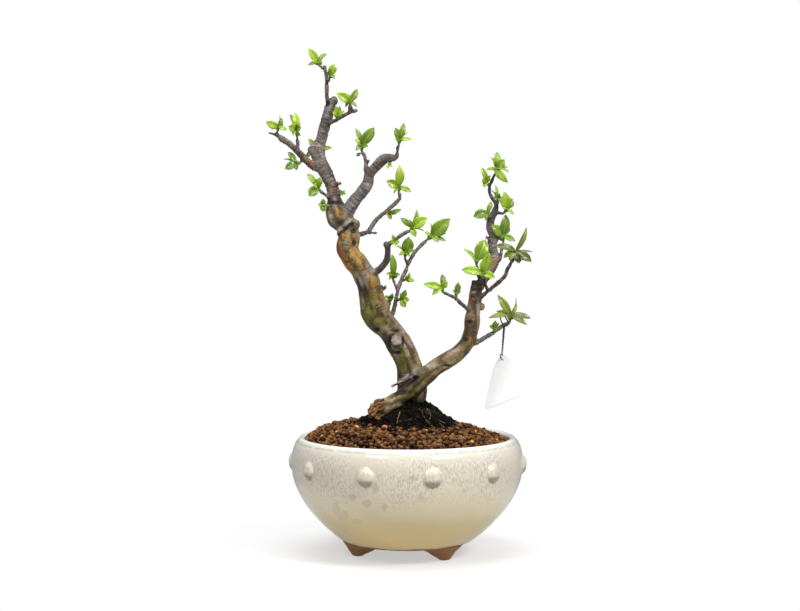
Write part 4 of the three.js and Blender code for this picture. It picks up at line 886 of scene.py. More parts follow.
# %% [markdown]
# ## The wood's lines
# The woody part grew in one piece: a leaning main trunk, a second trunk in front of it, and every
# limb and twig on both. Each limb is a line of points on the front view, as u, v, depth in mm and
# half thickness in steps. The line is smoothed, and rings of points are set round it.
# %% The limbs
LIMBS = {
    "main trunk": [
        (410, 450, 8, 7), (410.5, 424, 7, 15), (410.5, 404, 6, 16.6), (411.2, 388, 6, 14.4),
        (408.6, 366, 6, 12.2), (400.8, 347.5, 5, 12.9), (389.6, 330, 4, 11.6), (378.4, 317, 3, 14.2),
        (374.2, 305.5, 1, 13.4), (370.3, 290, 0, 11.3), (367.2, 279, -2, 11.6),
        (359.2, 265.7, -3, 10.4), (351.3, 256, -2, 10.6), (348, 248, -1, 11.1), (349.2, 237.4, 0, 10.9),
        (348, 228.5, 1, 10), (339.2, 217, 2, 13), (335.5, 206, 4, 8.6), (334, 199, 4, 6.4),
    ],
    "upper left limb": [
        (335.2, 206, 4, 6.8), (332.9, 190, 5, 6.5), (329.2, 180, 6, 6.4), (323.4, 169, 8, 6.9),
        (319.6, 160, 9, 6.6), (317.8, 151, 10, 7.2), (321.2, 140.6, 11, 5.4), (325.8, 124.7, 12, 5.9),
        (330.2, 108, 12, 5.7), (332.2, 101, 12, 4.4),
    ],
    "top leader": [
        (328.6, 108, 11, 2.6), (327.2, 96, 10, 2.1), (327, 81.5, 8, 2), (325.4, 71, 8, 2),
        (321.8, 68, 8, 1.5),
    ],
    "top leader's tip": [(325.6, 73, 8, 1.6), (325.2, 66.4, 8, 1.2)],
    "spur of spray 2": [(327, 84, 8, 1.5), (329.5, 80, 6, 1.3)],
    "upper right branchlet": [
        (327, 124, 10, 2.6), (335, 121.4, 8, 2.2), (342.9, 116.8, 7, 2), (350, 113.4, 7, 2),
        (357.4, 110.8, 8, 1.6),
    ],
    "spur of spray 3": [(350.4, 113.8, 7, 2.2), (350.5, 106.6, 6, 2.4)],
    "spur of spray 4": [(335, 122, 8, 1.5), (337.4, 119.8, 4, 1.3)],
    "left branch": [
        (320, 169, 8, 4.4), (313, 166.4, 6, 3.8), (304.6, 158.6, 2, 3.5), (298, 152, -1, 3.3),
        (288.7, 143.4, -6, 3.1), (281.4, 138.6, -10, 2.9), (277.6, 134.8, -12, 1.8),
        (277.8, 132, -12, 1.4),
    ],
    "left branch's dead end": [(279, 137, -11, 1.6), (274, 134.6, -12, 1.4), (269.6, 133.4, -13, 1.1)],
    "twig of spray 6": [(298.6, 153, -1, 1.7), (298.4, 145.6, -1, 1.7), (297.6, 138.6, -2, 1.4)],
    "spur of spray 7": [(303.6, 159, 2, 1.6), (300.4, 163.2, 0, 1.4)],
    "spur of spray 8": [(318, 151.4, 12, 1.8), (316.4, 150.6, 21, 1.4)],
    "spur of spray 9": [(331, 199.6, 4, 1.9), (324.4, 194.2, 0, 1.6), (320.4, 191.2, -1, 1.4)],
    "spur of spray 10": [(332, 207, 2, 2), (326.2, 205.2, -3, 1.4)],
    "middle limb": [
        (344, 222, 0, 7), (348.2, 211.6, -2, 6.3), (355, 200.4, -5, 6.1), (362.4, 191.6, -7, 5.9),
        (367.4, 184.6, -9, 5.6), (369.4, 175.6, -11, 5), (376, 166.8, -13, 4.9), (384, 159.6, -16, 4.9),
        (390.6, 158.6, -18, 4.1), (396, 157.4, -19, 2.9), (397.4, 152.6, -20, 1.5),
        (397.6, 148.4, -20, 1.7), (398.8, 145.2, -20, 1.3),
    ],
    "twig of spray 12": [
        (367.4, 177, -11, 3), (366, 170, -12, 2.4), (365.6, 162, -12, 1.8), (364.2, 155.4, -12, 1.5),
        (362.2, 152, -12, 1.5),
    ],
    "stub on the twig of spray 12": [(366.4, 165, -12, 1.6), (369.6, 160.2, -13, 1)],
    "dark bud under spray 12": [
        (364, 155, -12, 0.7), (360.8, 153.4, -13, 0.7), (358.8, 154.6, -14, 2), (357.8, 156.8, -14, 1),
    ],
    "knobby branch": [
        (353, 236, 4, 3), (361.5, 234, 8, 2.6), (368, 231.6, 12, 2.3), (371.8, 226.6, 14, 2.2),
        (374.8, 221.5, 16, 2.3), (380.6, 215.7, 18, 2.2), (385.7, 212, 21, 2.3),
        (391.4, 206.8, 25, 2.2), (396.5, 202.3, 28, 2.1), (399.6, 198, 31, 1.8), (399, 192.6, 32, 1.5),
    ],
    "knobby branch's dead end": [(367, 232.4, 12, 1.6), (376.8, 233, 9, 0.9)],
    "spur of spray 14": [(385, 212.4, 21, 1.6), (387.8, 213.8, 18, 1.2)],
    "front branch": [
        (369, 274, -4, 4), (377.4, 270.8, -9, 3.5), (382.8, 266, -14, 3.3), (387, 259.6, -18, 3.2),
        (387.8, 252, -22, 2.9), (387.9, 245.2, -25, 2.9), (391.6, 242.2, -27, 2.2),
        (396.5, 238.7, -29, 1.9), (402.9, 234.2, -30, 1.9), (409.8, 230.8, -31, 1.4),
    ],
    "spur of spray 15": [(391.6, 243, -27, 1.4), (393.6, 242.4, -30.5, 1.1)],
    "back branch": [
        (385.6, 320, 5, 3.4), (391.8, 314.6, 9, 2.7), (394.4, 307, 12, 2.3), (396.2, 298, 15, 2.3),
        (398.3, 288.5, 18, 2.3), (401.5, 279.6, 22, 2.2), (405.9, 270, 26, 2), (408.3, 263.8, 28, 1.8),
        (413.4, 254.2, 30, 1.7), (419.7, 246.6, 32, 1.8), (426, 240.6, 34, 1.9),
    ],
    "twig of spray 17": [(407.6, 265.6, 27.5, 1.5), (405, 258, 26, 1.5)],
    "twig of spray 19": [(397.4, 291.4, 17, 1.6), (395, 284.6, 18, 1.3), (393, 279.6, 19, 1.4)],
    "spur of spray 20": [(402, 280, 22, 1.5), (405.2, 279.6, 19, 1.2)],
    "spur of spray 21": [(396.4, 299.4, 15, 1.6), (399.6, 299.4, 11, 1.3)],
    "twig of spray 22": [(387.6, 313, 3, 1.8), (388.8, 308, 5, 1.3), (389.6, 302, 6, 1.2)],
    "second trunk": [
        (372.8, 411.8, -23, 5.8), (380, 408.4, -20, 8.2), (391, 404.4, -14.5, 8.7),
        (406.6, 395.4, -12.4, 9), (420, 382, -18, 8.4), (432, 371, -21, 8), (445, 361.6, -22, 7.7),
        (457.4, 352.8, -21, 7.6), (466.4, 343.4, -20, 7.4), (470.8, 332, -19, 7),
        (472.6, 318, -18, 6.6), (473.8, 304, -17, 6.3), (475.8, 291.4, -16, 6), (477.4, 281, -16, 5.4),
    ],
    "dead stub across the main trunk": [
        (424, 368, -22, 2.6), (413, 376.4, -25, 1.9), (402, 382, -26, 1.5), (391.8, 386.6, -26, 1.2),
    ],
    "right leader": [
        (474, 296, -14, 5.4), (480.6, 283, -9, 5.4), (489, 271, -4, 5.3), (493.4, 260.6, 0, 5.2),
        (492.4, 249.6, 2, 4.8), (491.6, 243.6, 3, 4.6), (493.6, 236.8, 4, 4.7), (490.2, 227.4, 5, 4.1),
        (490.6, 220.6, 5, 3.7), (494.2, 211.6, 4, 3.2), (496.2, 204.6, 2, 2.5), (491.8, 198.4, 0, 1.7),
        (489.4, 193.2, -2, 1.6), (489.5, 186, -4, 1.6), (492.2, 179, -6, 1.6), (495.2, 173.6, -8, 1.4),
    ],
    "twig of spray 25": [(480, 287, -12, 1.8), (478.4, 276, -19, 1.6), (476.6, 265.4, -22, 1.4)],
    "spur of spray 27": [(489.6, 187, -4, 1.4), (487.6, 185, -6, 1.2)],
    "spur of spray 28": [(496, 206, 2, 1.6), (497.4, 202, 4, 1.2)],
    "spur of spray 29": [(494.4, 212, 4, 2.2), (499.6, 213.2, 1, 1.7), (503.4, 213.2, -1, 1.3)],
    "spur of spray 30": [(490.8, 220, 4, 1.6), (488, 215.2, 0, 1.3)],
    "twig of spray 31": [
        (493.8, 264, 0, 2.2), (499.6, 259.6, 2, 1.9), (501, 253, 3, 1.6), (503, 242.6, 3, 1.3),
    ],
    "right twig": [
        (472, 302.6, -18, 3.2), (479, 298.4, -23, 2.3), (489.6, 289.7, -28, 2), (497.9, 282.7, -34, 2),
        (504.9, 275.7, -39, 1.9), (507.7, 268.7, -41, 1.8), (511.4, 262, -44, 1.6),
        (514.6, 256.8, -45, 1.4),
    ],
    "twig of spray 24": [(487.6, 291.6, -27, 1.5), (485.4, 285.4, -32, 1.4), (483.4, 278.8, -36, 1.4)],
    "left twig": [
        (470, 311, -20, 2.4), (463.4, 305.6, -27, 1.9), (455.8, 298.4, -34, 1.9),
        (449, 294.8, -38, 1.6), (443.2, 292.4, -40, 1.4),
    ],
    "spur of spray 33": [(455.6, 299, -34, 1.4), (456.1, 295.8, -35, 1.2)],
    "tagged twig": [
        (468, 345, -18, 3.6), (476.5, 342.4, -13, 2.5), (482.3, 339.4, -10, 2.3),
        (491.4, 333.7, -6, 2.2), (502, 326.2, 0, 2), (509.4, 322.2, 4, 1.6),
    ],
    "spur of spray 35": [(493.4, 333.4, -5, 1.6), (494, 331.8, -7.5, 1.2)],
    "dark bud on the main trunk": [
        (376, 289, -4, 1.8), (381.8, 288.6, -6, 1.8), (385.8, 289.4, -7, 0.6),
    ],
}
# Knots and cut knobs that stand out of a limb: u, v, depth in mm and half height in steps.
KNOBS = [
    (312, 150, 8, 4.5), (334.4, 101.6, 11, 4.2), (354.6, 224.4, -4, 5.2), (341.4, 233, -4, 5.2),
    (367.4, 187.6, -13, 4.2), (386.4, 305, -5, 3.6), (396.4, 341.6, -7, 6.6), (497, 236.4, 3, 3.4),
    (481, 306.6, -15, 3.2), (473.6, 340.4, -18, 4.2), (377.8, 402.4, -20, 4), (371.4, 414.8, -24, 3.4),
    (385.8, 244.4, -25, 2.8),
]
print(len(LIMBS), "limbs and", len(KNOBS), "knobs")
# %% [markdown]
# ## The wood
# Overlapping tubes would show hard seams where limbs meet, and real wood flows from one into the
# other. So the tubes are joined, remeshed into one skin of small even faces, and the skin is
# smoothed most where two limbs are close. Each point then finds its limb again, with its way along
# the limb and round it, and the bark's relief and colours are laid along those.
# %% Tubes
def grow_rings(rows, step):
    """Rings along a limb: middle, radius, way along, heading, front and side directions."""
    rings = course([[*at(u, v, y), r * GRID] for u, v, y, r in rows], step)
    middle = rings[:, :3]
    heading = np.gradient(middle, axis=0)
    heading /= np.linalg.norm(heading, axis=1)[:, None]
    front = np.array([0.0, -1.0, 0.0])
    found = []
    for i in range(len(rings)):
        front = front - heading[i] * (front @ heading[i])
        if np.linalg.norm(front) < 0.05:
            front = np.array([1.0, 0, 0]) - heading[i] * heading[i][0]
        front = unit(front)
        found.append((middle[i], rings[i, 3], rings[i, 4], heading[i], front, np.cross(heading[i], front)))
    return found


VOXEL_SIZE, DOME = 0.0008, 0.35


def tube(rows, step, sides, ribs, seed):
    """A limb's tube with flutes along it and domed ends, as (points, faces)."""
    rings = grow_rings(rows, step)
    angles = np.arange(sides) * 2 * np.pi / sides
    points = [rings[0][0] - rings[0][3] * DOME * rings[0][1]]
    for middle, radius, s, _, front, side in rings:
        swell = 1 + ribs * 1.2 * drift(s / 9, seed)
        flute = 0.6 * np.cos(3 * angles + seed + 0.02 * s) + 0.4 * np.cos(5 * angles - 0.03 * s)
        r = (radius * swell * (1 + ribs * flute))[:, None]
        points.extend(middle + np.cos(angles)[:, None] * front * r + np.sin(angles)[:, None] * side * r)
    points.append(rings[-1][0] + rings[-1][3] * DOME * rings[-1][1])
    top = len(points) - 1
    foot_dome = [(0, 1 + (k + 1) % sides, 1 + k) for k in range(sides)]
    top_dome = [(top, top - sides + k, top - sides + (k + 1) % sides) for k in range(sides)]
    return points, foot_dome + ring_faces(len(rings), sides, 1) + top_dome


RIBS = {"main trunk": 0.055, "second trunk": 0.06, "right leader": 0.06}
tubes = []
for seed, (name, rows) in enumerate(LIMBS.items(), 1):
    thick = max(row[3] for row in rows)
    sides = int(np.clip(thick * 6, 10, 64))
    ribs = RIBS.get(name, 0.05 if thick > 3 else 0.03)
    tubes.append(from_points(name, *tube(rows, 1.2 if thick > 3 else 0.8, sides, ribs, seed)))
for i, (u, v, y, r) in enumerate(KNOBS):
    clear_bench()
    middle = Vector(at(u, v, y)) * MM
    bpy.ops.mesh.primitive_uv_sphere_add(segments=24, ring_count=16, radius=r * GRID * MM, location=middle)
    bpy.ops.transform.resize(value=(1, 0.8, 0.9 + 0.3 * chance(i)))
    tubes.append(bpy.context.object)
wood = join(*tubes)
wood.name = "grown_wood"
apply_place()
modify(wood, "REMESH", mode="VOXEL", voxel_size=VOXEL_SIZE)
print("the wood's skin has", len(wood.data.polygons), "faces")
# %% Each point finds its limb
RINGS = []
for seed, (name, rows) in enumerate(LIMBS.items(), 1):
    for middle, radius, s, heading, front, side in grow_rings(rows, 1.5):
        RINGS.append((*middle, radius, s, *heading, *front, *side, seed))
RINGS = np.array(RINGS)
LIMB_NAMES = ["", *LIMBS]


def find_limbs(points):
    """For each point: its limb, way along, offsets to the front and side, radius, and how near
    the next limb is."""
    tree = kdtree.KDTree(len(RINGS))
    for i, row in enumerate(RINGS):
        tree.insert(row[:3], i)
    tree.balance()
    near = np.array([[hit[1] for hit in tree.find_n(p, 24)] for p in points])
    rows = RINGS[near]
    away = points[:, None, :] - rows[:, :, :3]
    along = np.einsum("nkj,nkj->nk", away, rows[:, :, 5:8])
    clear = np.linalg.norm(away, axis=2) - rows[:, :, 3] + 0.2 * np.abs(along)
    best = np.argmin(clear, axis=1)
    each = np.arange(len(points))
    mine, off = rows[each, best], away[each, best]
    same = rows[:, :, 14] == mine[:, None, 14]
    other = np.where(same, 99, clear - clear[each, best][:, None])
    way, front, side = (np.einsum("nj,nj->n", off, mine[:, k : k + 3]) for k in (5, 8, 11))
    return mine[:, 14].astype(int), mine[:, 4] + way, front, side, mine[:, 3], other.min(axis=1)


def soften(obj, points, weight, rounds):
    """Moves each point toward the middle of its neighbours, by its weight, a few times."""
    edges = np.empty(len(obj.data.edges) * 2, dtype=np.int64)
    obj.data.edges.foreach_get("vertices", edges)
    a, b = edges.reshape(-1, 2).T
    count = np.bincount(a, minlength=len(points)) + np.bincount(b, minlength=len(points))
    for _ in range(rounds):
        total = np.zeros_like(points)
        for k in range(3):
            total[:, k] = np.bincount(a, points[b, k], len(points))
            total[:, k] += np.bincount(b, points[a, k], len(points))
        points = points + (total / count[:, None] - points) * np.reshape(weight, (-1, 1))
    return points


points = points_of(wood)
limb, way, front, side, radius, other = find_limbs(points)
joint = np.clip(1 - other / 2.6, 0, 1) * (radius > 1.6)
points = soften(wood, points, 0.5, 2)
points = soften(wood, points, 0.62 * joint, 14)
put_points(wood, points)
print("points near a joint:", int((joint > 0.3).sum()))
# %% [markdown]
# ## Bark relief
# Quince bark is smooth and flakes in plates. Limbs carry fine wrinkles across them, like rings on a
# finger, with a few deep cracks and bud scars, and the old trunk has long shallow hollows. The
# relief is noise, squeezed along the limb for wrinkles and drawn out along it for hollows.
# %% Relief along each limb
def field(points, scale, seed):
    """Smooth noise from -1 to 1 at points."""
    return np.array([noise.noise(Vector(p) * scale + Vector((seed, 0, 0))) for p in points])


local = np.stack([front, side, way], axis=1)
thick = np.clip(radius / 6, 0.15, 1)
wrinkles = field(local * [0.06, 0.06, 0.46], 1.0, 3)
wrinkles += 0.7 * field(local * [0.12, 0.12, 0.9], 1.0, 9)
hollows = field(local * [0.16, 0.16, 0.035], 1.0, 5)
lumps = field(points, 0.11, 7)
crack = np.clip(1 - np.abs(field(local * [0.1, 0.1, 0.24], 1.0, 11)) * 9, 0, 1)
crack *= np.clip(field(points, 0.05, 13) * 3, 0, 1)
old = np.isin(limb, [LIMB_NAMES.index("main trunk"), LIMB_NAMES.index("second trunk")])
folds = field(local * [0.3, 0.3, 0.06], 1.0, 17) + 0.5 * field(local * [0.5, 0.5, 0.14], 1.0, 19)
push = wrinkles * np.where(old, 0.1, 0.5) * thick + lumps * 0.5 * thick
push += hollows * np.where(old, 1.7, 0.4) * thick
push += folds * np.where(old, 0.55, 0.2) * thick - crack * 0.5 * thick
slim = np.clip(1.6 - radius / 1.6, 0, 1)
push += slim * (0.75 * np.clip(field(points, 0.36, 23) * 2.6, 0, 1) + 0.25 * field(points, 0.9, 25))
push *= np.clip((points[:, 2] - 108) / 10, 0, 1)
points = points + normals_of(wood) * push[:, None]
print("relief from", push.min().round(2), "to", push.max().round(2), "mm")
# %% [markdown]
# ## Scars, cracks and patches
# A few places on this tree stand out: fresh orange wood where bark flaked off, dark rings where grafts or old
# cuts healed, and pale eyes of cut knots. Some are painted light and shade instead: dark and brown spots painted
# as shadow under the dead stub, round the second trunk's foot and under the second trunk, and pale spots painted
# as sheen along the top of the stub, the upper side of the second trunk and the main trunk's right edge. Each is
# a spot of the front view, with half its width and half its height, and it marks the points that lie in it,
# least on the far side.
# %% Marks on the wood
def chain(first, last, wide, high):
    """Places close together from one point of the front view to another."""
    ways = np.linspace(0, 1, 11)
    return [(*(np.array(first) + (np.array(last) - first) * t), wide, high) for t in ways]


MARKS = {
    "fresh": [
        (339, 247, 3.6, 7), (342, 255, 3.8, 7), (346, 263, 3.8, 6), (350, 270, 3, 4),
        (488, 266, 2.4, 2), (470.5, 299.4, 4.6, 2.2), (371, 411, 3, 4), (377, 405, 2, 4),
        (341, 236, 3, 4),
    ],
    "gold": [
        (356, 252, 7, 12), (362, 264, 5, 8), (373, 282, 5, 12), (338.5, 212, 6, 6), (347, 236.5, 8, 3),
        (380, 296, 4, 8), (371, 411, 7, 8), (470, 341, 5, 5),
    ],
    # Dark scars and cut ends, and painted shadow: the spots under the dead stub and round the second trunk's
    # foot.
    "dark": [
        *chain((337.4, 236), (353, 223.4), 1.9, 1.3), (336, 202.6, 7, 1.8), (376.6, 330, 4, 2.4),
        (473.6, 278, 6, 5), (479.6, 279, 6, 5), (476, 283.6, 8, 2.6), (396.6, 352.6, 6, 1.8),
        (403, 341, 1.4, 4), (353.6, 231.4, 2.2, 2.2), (354.2, 242.6, 1.8, 3), (465.6, 340, 3, 2),
        (396, 331, 3, 1.2), (470, 322, 3, 2), (396.4, 389, 3.4, 8),
        *chain((397, 391), (416, 378), 3, 2.2), (400, 392, 8, 3.4), (412, 403, 12, 4),
        (427, 404, 8, 5), (327.4, 104, 3.4, 3.4), (389.4, 342, 1.3, 6), (448, 366, 4, 1.4),
        (392, 377, 8, 2), (381, 413, 3, 5), (366, 416, 3, 3), (375.6, 414, 1.4, 6),
    ],
    # Pale knot faces, and painted sheen: the chain on the stub's top, the main trunk's right edge and the second
    # trunk's upper side.
    "pale": [
        *chain((393, 385.6), (414, 371.4), 2, 1.6), (396.2, 340.8, 7.6, 7), (405.6, 345.6, 2.4, 2),
        *chain((335.4, 232.4), (350, 219.6), 2.2, 1.6), (467.6, 293.4, 3.4, 1.8),
        (473, 292, 3.4, 1.8), (404, 330, 5, 4), (411, 343, 4, 6), (455, 350, 6, 2.4),
        (433, 366, 8, 2.4), (369, 265, 5, 4), (373, 268, 3, 6), (363, 280, 4, 8), (478, 307, 2.4, 8),
    ],
    "rings": [(494, 264, 7, 8), (336, 190, 6, 6), *chain((283, 143), (312, 166), 5, 5)],
    # Brown bark, and painted shadow: the chain under the second trunk.
    "brown_and_shadow": [
        (475, 300, 8, 14), (480, 288, 8, 8), (468, 328, 6, 10), (438, 396, 5, 9), (432, 380, 6, 6),
        *chain((420, 401), (456, 371), 3, 3), (385, 340, 4, 8), (352, 290, 4, 10), (412, 350, 3, 12),
    ],
    "olive": [
        (403, 362, 4, 12), (399, 352, 3, 4), (372, 300, 5, 9), (371, 312, 6, 7), (378, 322, 5, 5),
        (366, 318, 4, 7), (384, 322, 4, 5), (408, 398, 8, 3), (355, 262, 3, 8),
    ],
}
BURLS = [(396.2, 341, 4.6), (406, 346, 2.8)]


put_points(wood, points)
facing = np.maximum(np.clip(normals_of(wood)[:, 1] * -2.5 + 0.6, 0, 1), 0.25)
marks = {name: spotted(points, spots, 1.5) * facing for name, spots in MARKS.items()}
ripple, ring_groove = np.zeros(len(points)), np.zeros(len(points))
for u, v, wide in BURLS:
    ring = np.hypot(*(points[:, [0, 2]] - at(u, v, -14)[[0, 2]]).T) / wide
    ring += 0.25 * field(points, 0.3, 31)
    facing = points[:, 1] < -6
    collar = np.exp(-(((ring - 1.75) / 0.3) ** 2)) + 0.5 * np.exp(-(((ring - 0.7) / 0.22) ** 2))
    ripple = np.maximum(ripple, (collar + 0.8 * field(points, 0.6, 33) * (ring < 2)) * facing)
    ring_groove = np.maximum(ring_groove, np.clip(1 - np.abs(ring - 1.28) * 3.6, 0, 1) * facing)
torn_end = at(372, 410, -22)
away = np.hypot(points[:, 0] - torn_end[0], points[:, 2] - torn_end[2]) / 9
torn = np.clip(1.3 - away, 0, 1)
torn = torn * (field(points * [0.34, 0.3, 0.2], 1.0, 41) + 0.6 * field(points, 0.5, 43))
carve = 1.1 * ripple - 1.0 * ring_groove - 0.8 * marks["dark"] * thick + 2.6 * torn
carve += marks["rings"] * 0.42 * np.sin(way * 2.7 + 2 * field(points, 0.12, 35))
points += normals_of(wood) * carve[:, None]
put_points(wood, points)
for name in ("fresh", "gold", "dark", "pale", "rings", "brown_and_shadow"):
    mark(wood, name, marks[name])
# Cracks are dark in their own colour; deep hollows and the ring grooves round the burls are darkened as painted
# shade.
mark(wood, "crack_and_groove_shade", np.clip(crack + 0.6 * ring_groove + np.clip(-push - 0.35, 0, 0.5), 0, 1))
mark(wood, "thick", thick)
# The relief's height, kept for painted light and shade: paler on ridges, darker in hollows.
mark(wood, "ridge_sheen_and_hollow_shade", np.clip(0.5 + (push + carve) / np.maximum(thick, 0.2) * 0.42, 0, 1))
moss = np.clip((150 - points[:, 2]) / 30, 0, 1) * np.clip(0.6 + field(points, 0.08, 21) * 2, 0, 1) * old
mark(wood, "moss", np.maximum(moss * 0.6, marks["olive"]))
mark(wood, "old", np.interp(points[:, 2], [112, 190, 280, 305, 320], [1, 0.9, 0.8, 0.35, 0]) * old)
limb_place = wood.data.attributes.new("limb_place", "FLOAT_VECTOR", "POINT")
limb_place.data.foreach_set("vector", (local * MM).astype(np.float32).ravel())
print("marked:", {name: int((v > 0.5).sum()) for name, v in marks.items()})
# %% [markdown]
# ## The bark's finish
# The young limbs are grey with a mauve cast, the old trunk is khaki and olive, and twigs are dark grey-brown.
# Fine dark lines run across the limbs and pale lenticels dot them. The lines read the limb's own place, so they
# turn with it. Ridges of the relief are painted paler as a painted sheen, and hollows darker as painted shade.
# %% Bark
bark, place, skin = finish("quince bark")
lie = place.read("limb_place", out=1)
lines = lie.grains(420, 3.0, 0.65, (0.25, 0.25, 1.6))
plates = lie.grains(140, 3.0, 0.6, (1, 1, 0.5))
dots = place.grains(900, 2.0, 0.6)
broad = place.grains(48, 3.0, 0.6)
ridge_sheen_and_hollow_shade = place.read("ridge_sheen_and_hollow_shade") + (plates - 0.5) * 0.3
young = broad.rise(0.35, 0.65).over(ink("544a45"), ink("8c827c"))
young = (1 - plates).rise(0.48, 0.66).over(young, ink("54473f"))
trunk = broad.rise(0.42, 0.58).over(ink("4e3f22"), ink("98845a"))
trunk = (plates.rise(0.54, 0.66) * 0.7).over(trunk, ink("43341d"))
streak = lie.grains(75, 4.0, 0.6, (1, 1, 0.6))
trunk = (streak.rise(0.5, 0.62) * 0.75).over(trunk, ink("5f5a22"))
trunk = ((1 - streak).rise(0.54, 0.66) * 0.6).over(trunk, ink("7a5430"))
colour = (place.read("old") + (broad - 0.5) * 0.5).rise(0.2, 0.7).over(young, trunk)
twig = lines.rise(0.4, 0.6).over(ink("352b26"), ink("665950"))
colour = place.read("thick").rise(0.22, 0.45).over(twig, colour)
colour = (lines.rise(0.54, 0.66) * (0.9 - place.read("old") * 0.8)).over(colour, ink("3c322b"))
colour = (dots.rise(0.6, 0.68) * 0.45).over(colour, ink("b0a494"))
# Painted sheen: ridges painted paler grey.
colour = (ridge_sheen_and_hollow_shade.rise(0.6, 0.9) * 0.4).over(colour, ink("a1968a"))
PATCHES = [  # mark, what frays its edge, how far, rise, cover, what mottles it, rise, two colours
    ("moss", plates, 0.8, (0.3, 0.8), 1, streak, (0.35, 0.65), "55501c", "7c7630"),
    # This patch also paints the shadow under the second trunk.
    ("brown_and_shadow", plates, 0.9, (0.3, 0.9), 0.75, streak, (0.4, 0.6), "3f2e18", "6a4f2c"),
    ("rings", lines, 2.2, (0.3, 0.8), 0.8, plates, (0.4, 0.6), "4a3026", "93705c"),
    ("gold", streak, 1.2, (0.3, 0.9), 1, plates, (0.4, 0.6), "6b471b", "a17e3b"),
    ("fresh", plates, 1.2, (0.35, 0.85), 1, plates, (0.4, 0.6), "8a5220", "c48a48"),
]
for name, fray, far, edge, cover, mottle, blend, first, second in PATCHES:
    mask = (place.read(name) + (fray - 0.5) * far).rise(*edge) * cover
    colour = mask.over(colour, mottle.rise(*blend).over(ink(first), ink(second)))
# Pale knot faces, with a painted sheen on the stub and along the trunks' lit edges.
colour = ((place.read("pale") + (plates - 0.5) * 1.2).rise(0.3, 0.9) * 0.75).over(colour, ink("a89e93"))
# Painted shade: hollows painted darker.
colour = ((1 - ridge_sheen_and_hollow_shade).rise(0.52, 0.88) * 0.65).over(colour, ink("3a2b1b"))
# Dark cracks, with painted shade in deep hollows and grooves.
colour = (place.read("crack_and_groove_shade") * 0.75).over(colour, ink("2b231d"))
# Dark scars, and painted shadow where the dark spots stand for shade.
scar_and_shadow = (place.read("dark") + (plates + dots - 1.0) * 1.3).rise(0.35, 0.75)
colour = (scar_and_shadow * 0.9).over(colour, ink("1d1612"))
relief = lines * 0.5 + plates * 0.3 + dots * 0.2
dress(
    skin,
    Base_Color=colour,
    Roughness=0.36 + plates * 0.3,
    Specular_IOR_Level=0.32,
    Normal=relief.bump(0.0022, 0.9),
)
settle(wood, "wood", bark)
# %% [markdown]
# ## The torn foot of the second trunk
# The second trunk was torn off at its foot. Short splinters of orange-brown wood stand there, dark
# between. Each lies between two places of the front view, at its own thickness, depth and tone.
# %% Splinters
torn_wood, place, skin = finish("torn wood")
tone = place.read("tone")
fibres = place.grains(700, 3.0, 0.7, (0.35, 1, 0.55))
colour = fibres.rise(0.4, 0.62).over(ink("5b3819"), ink("ad7b48"))
colour = tone.over(colour, ink("2c1c12"))
relief = fibres.bump(0.0012, 0.9)
dress(skin, Base_Color=colour, Roughness=0.75, Specular_IOR_Level=0.3, Normal=relief)
SPLINTERS = [  # first u and v, last u and v, thickness in steps, depth in mm, tone
    (369, 413.6, 382, 404, 3.6, -28, 0.05), (370.6, 410.6, 380.4, 401.4, 3, -27, 0.4),
    (375.6, 403.4, 384, 399.8, 3.6, -25, 0.6), (371, 416.4, 380.6, 409, 3.6, -29, 0.25),
    (374, 417.6, 383, 411, 3, -28, 0.6), (377, 420, 384.4, 414, 2.8, -29, 0.45),
    (375.6, 418, 382.4, 421.8, 3.2, -31, 0.2), (381, 407, 383.4, 418, 2.4, -28, 0.85),
    (369.6, 409.6, 371.4, 417, 3.4, -24, 0.35), (374, 405.4, 384.6, 402.4, 2.8, -28, 0.1),
    (372.6, 407, 377, 400.6, 3, -21, 0.5), (379, 411, 385.6, 408, 2.2, -30, 0.7),
]


def stir(points, scale):
    """A small smooth push for each point, along each axis."""
    return np.stack([field(points, scale, seed) for seed in (51, 153, 255)], axis=1)


strands = []
for u0, v0, u1, v1, wide, y, shade in SPLINTERS:
    ways = np.linspace(0, 1, 9)
    rows = np.array([at(u0 + (u1 - u0) * t, v0 + (v1 - v0) * t, y + 2 * t) for t in ways])
    strands.append(thread(rows + 0.5 * stir(rows, 0.4), wide * GRID * 1.35, shade, 7))
splinters = settle(gather("torn_foot", strands), "wood", torn_wood)
points = points_of(splinters)
put_points(splinters, points + 0.5 * stir(points, 0.8))
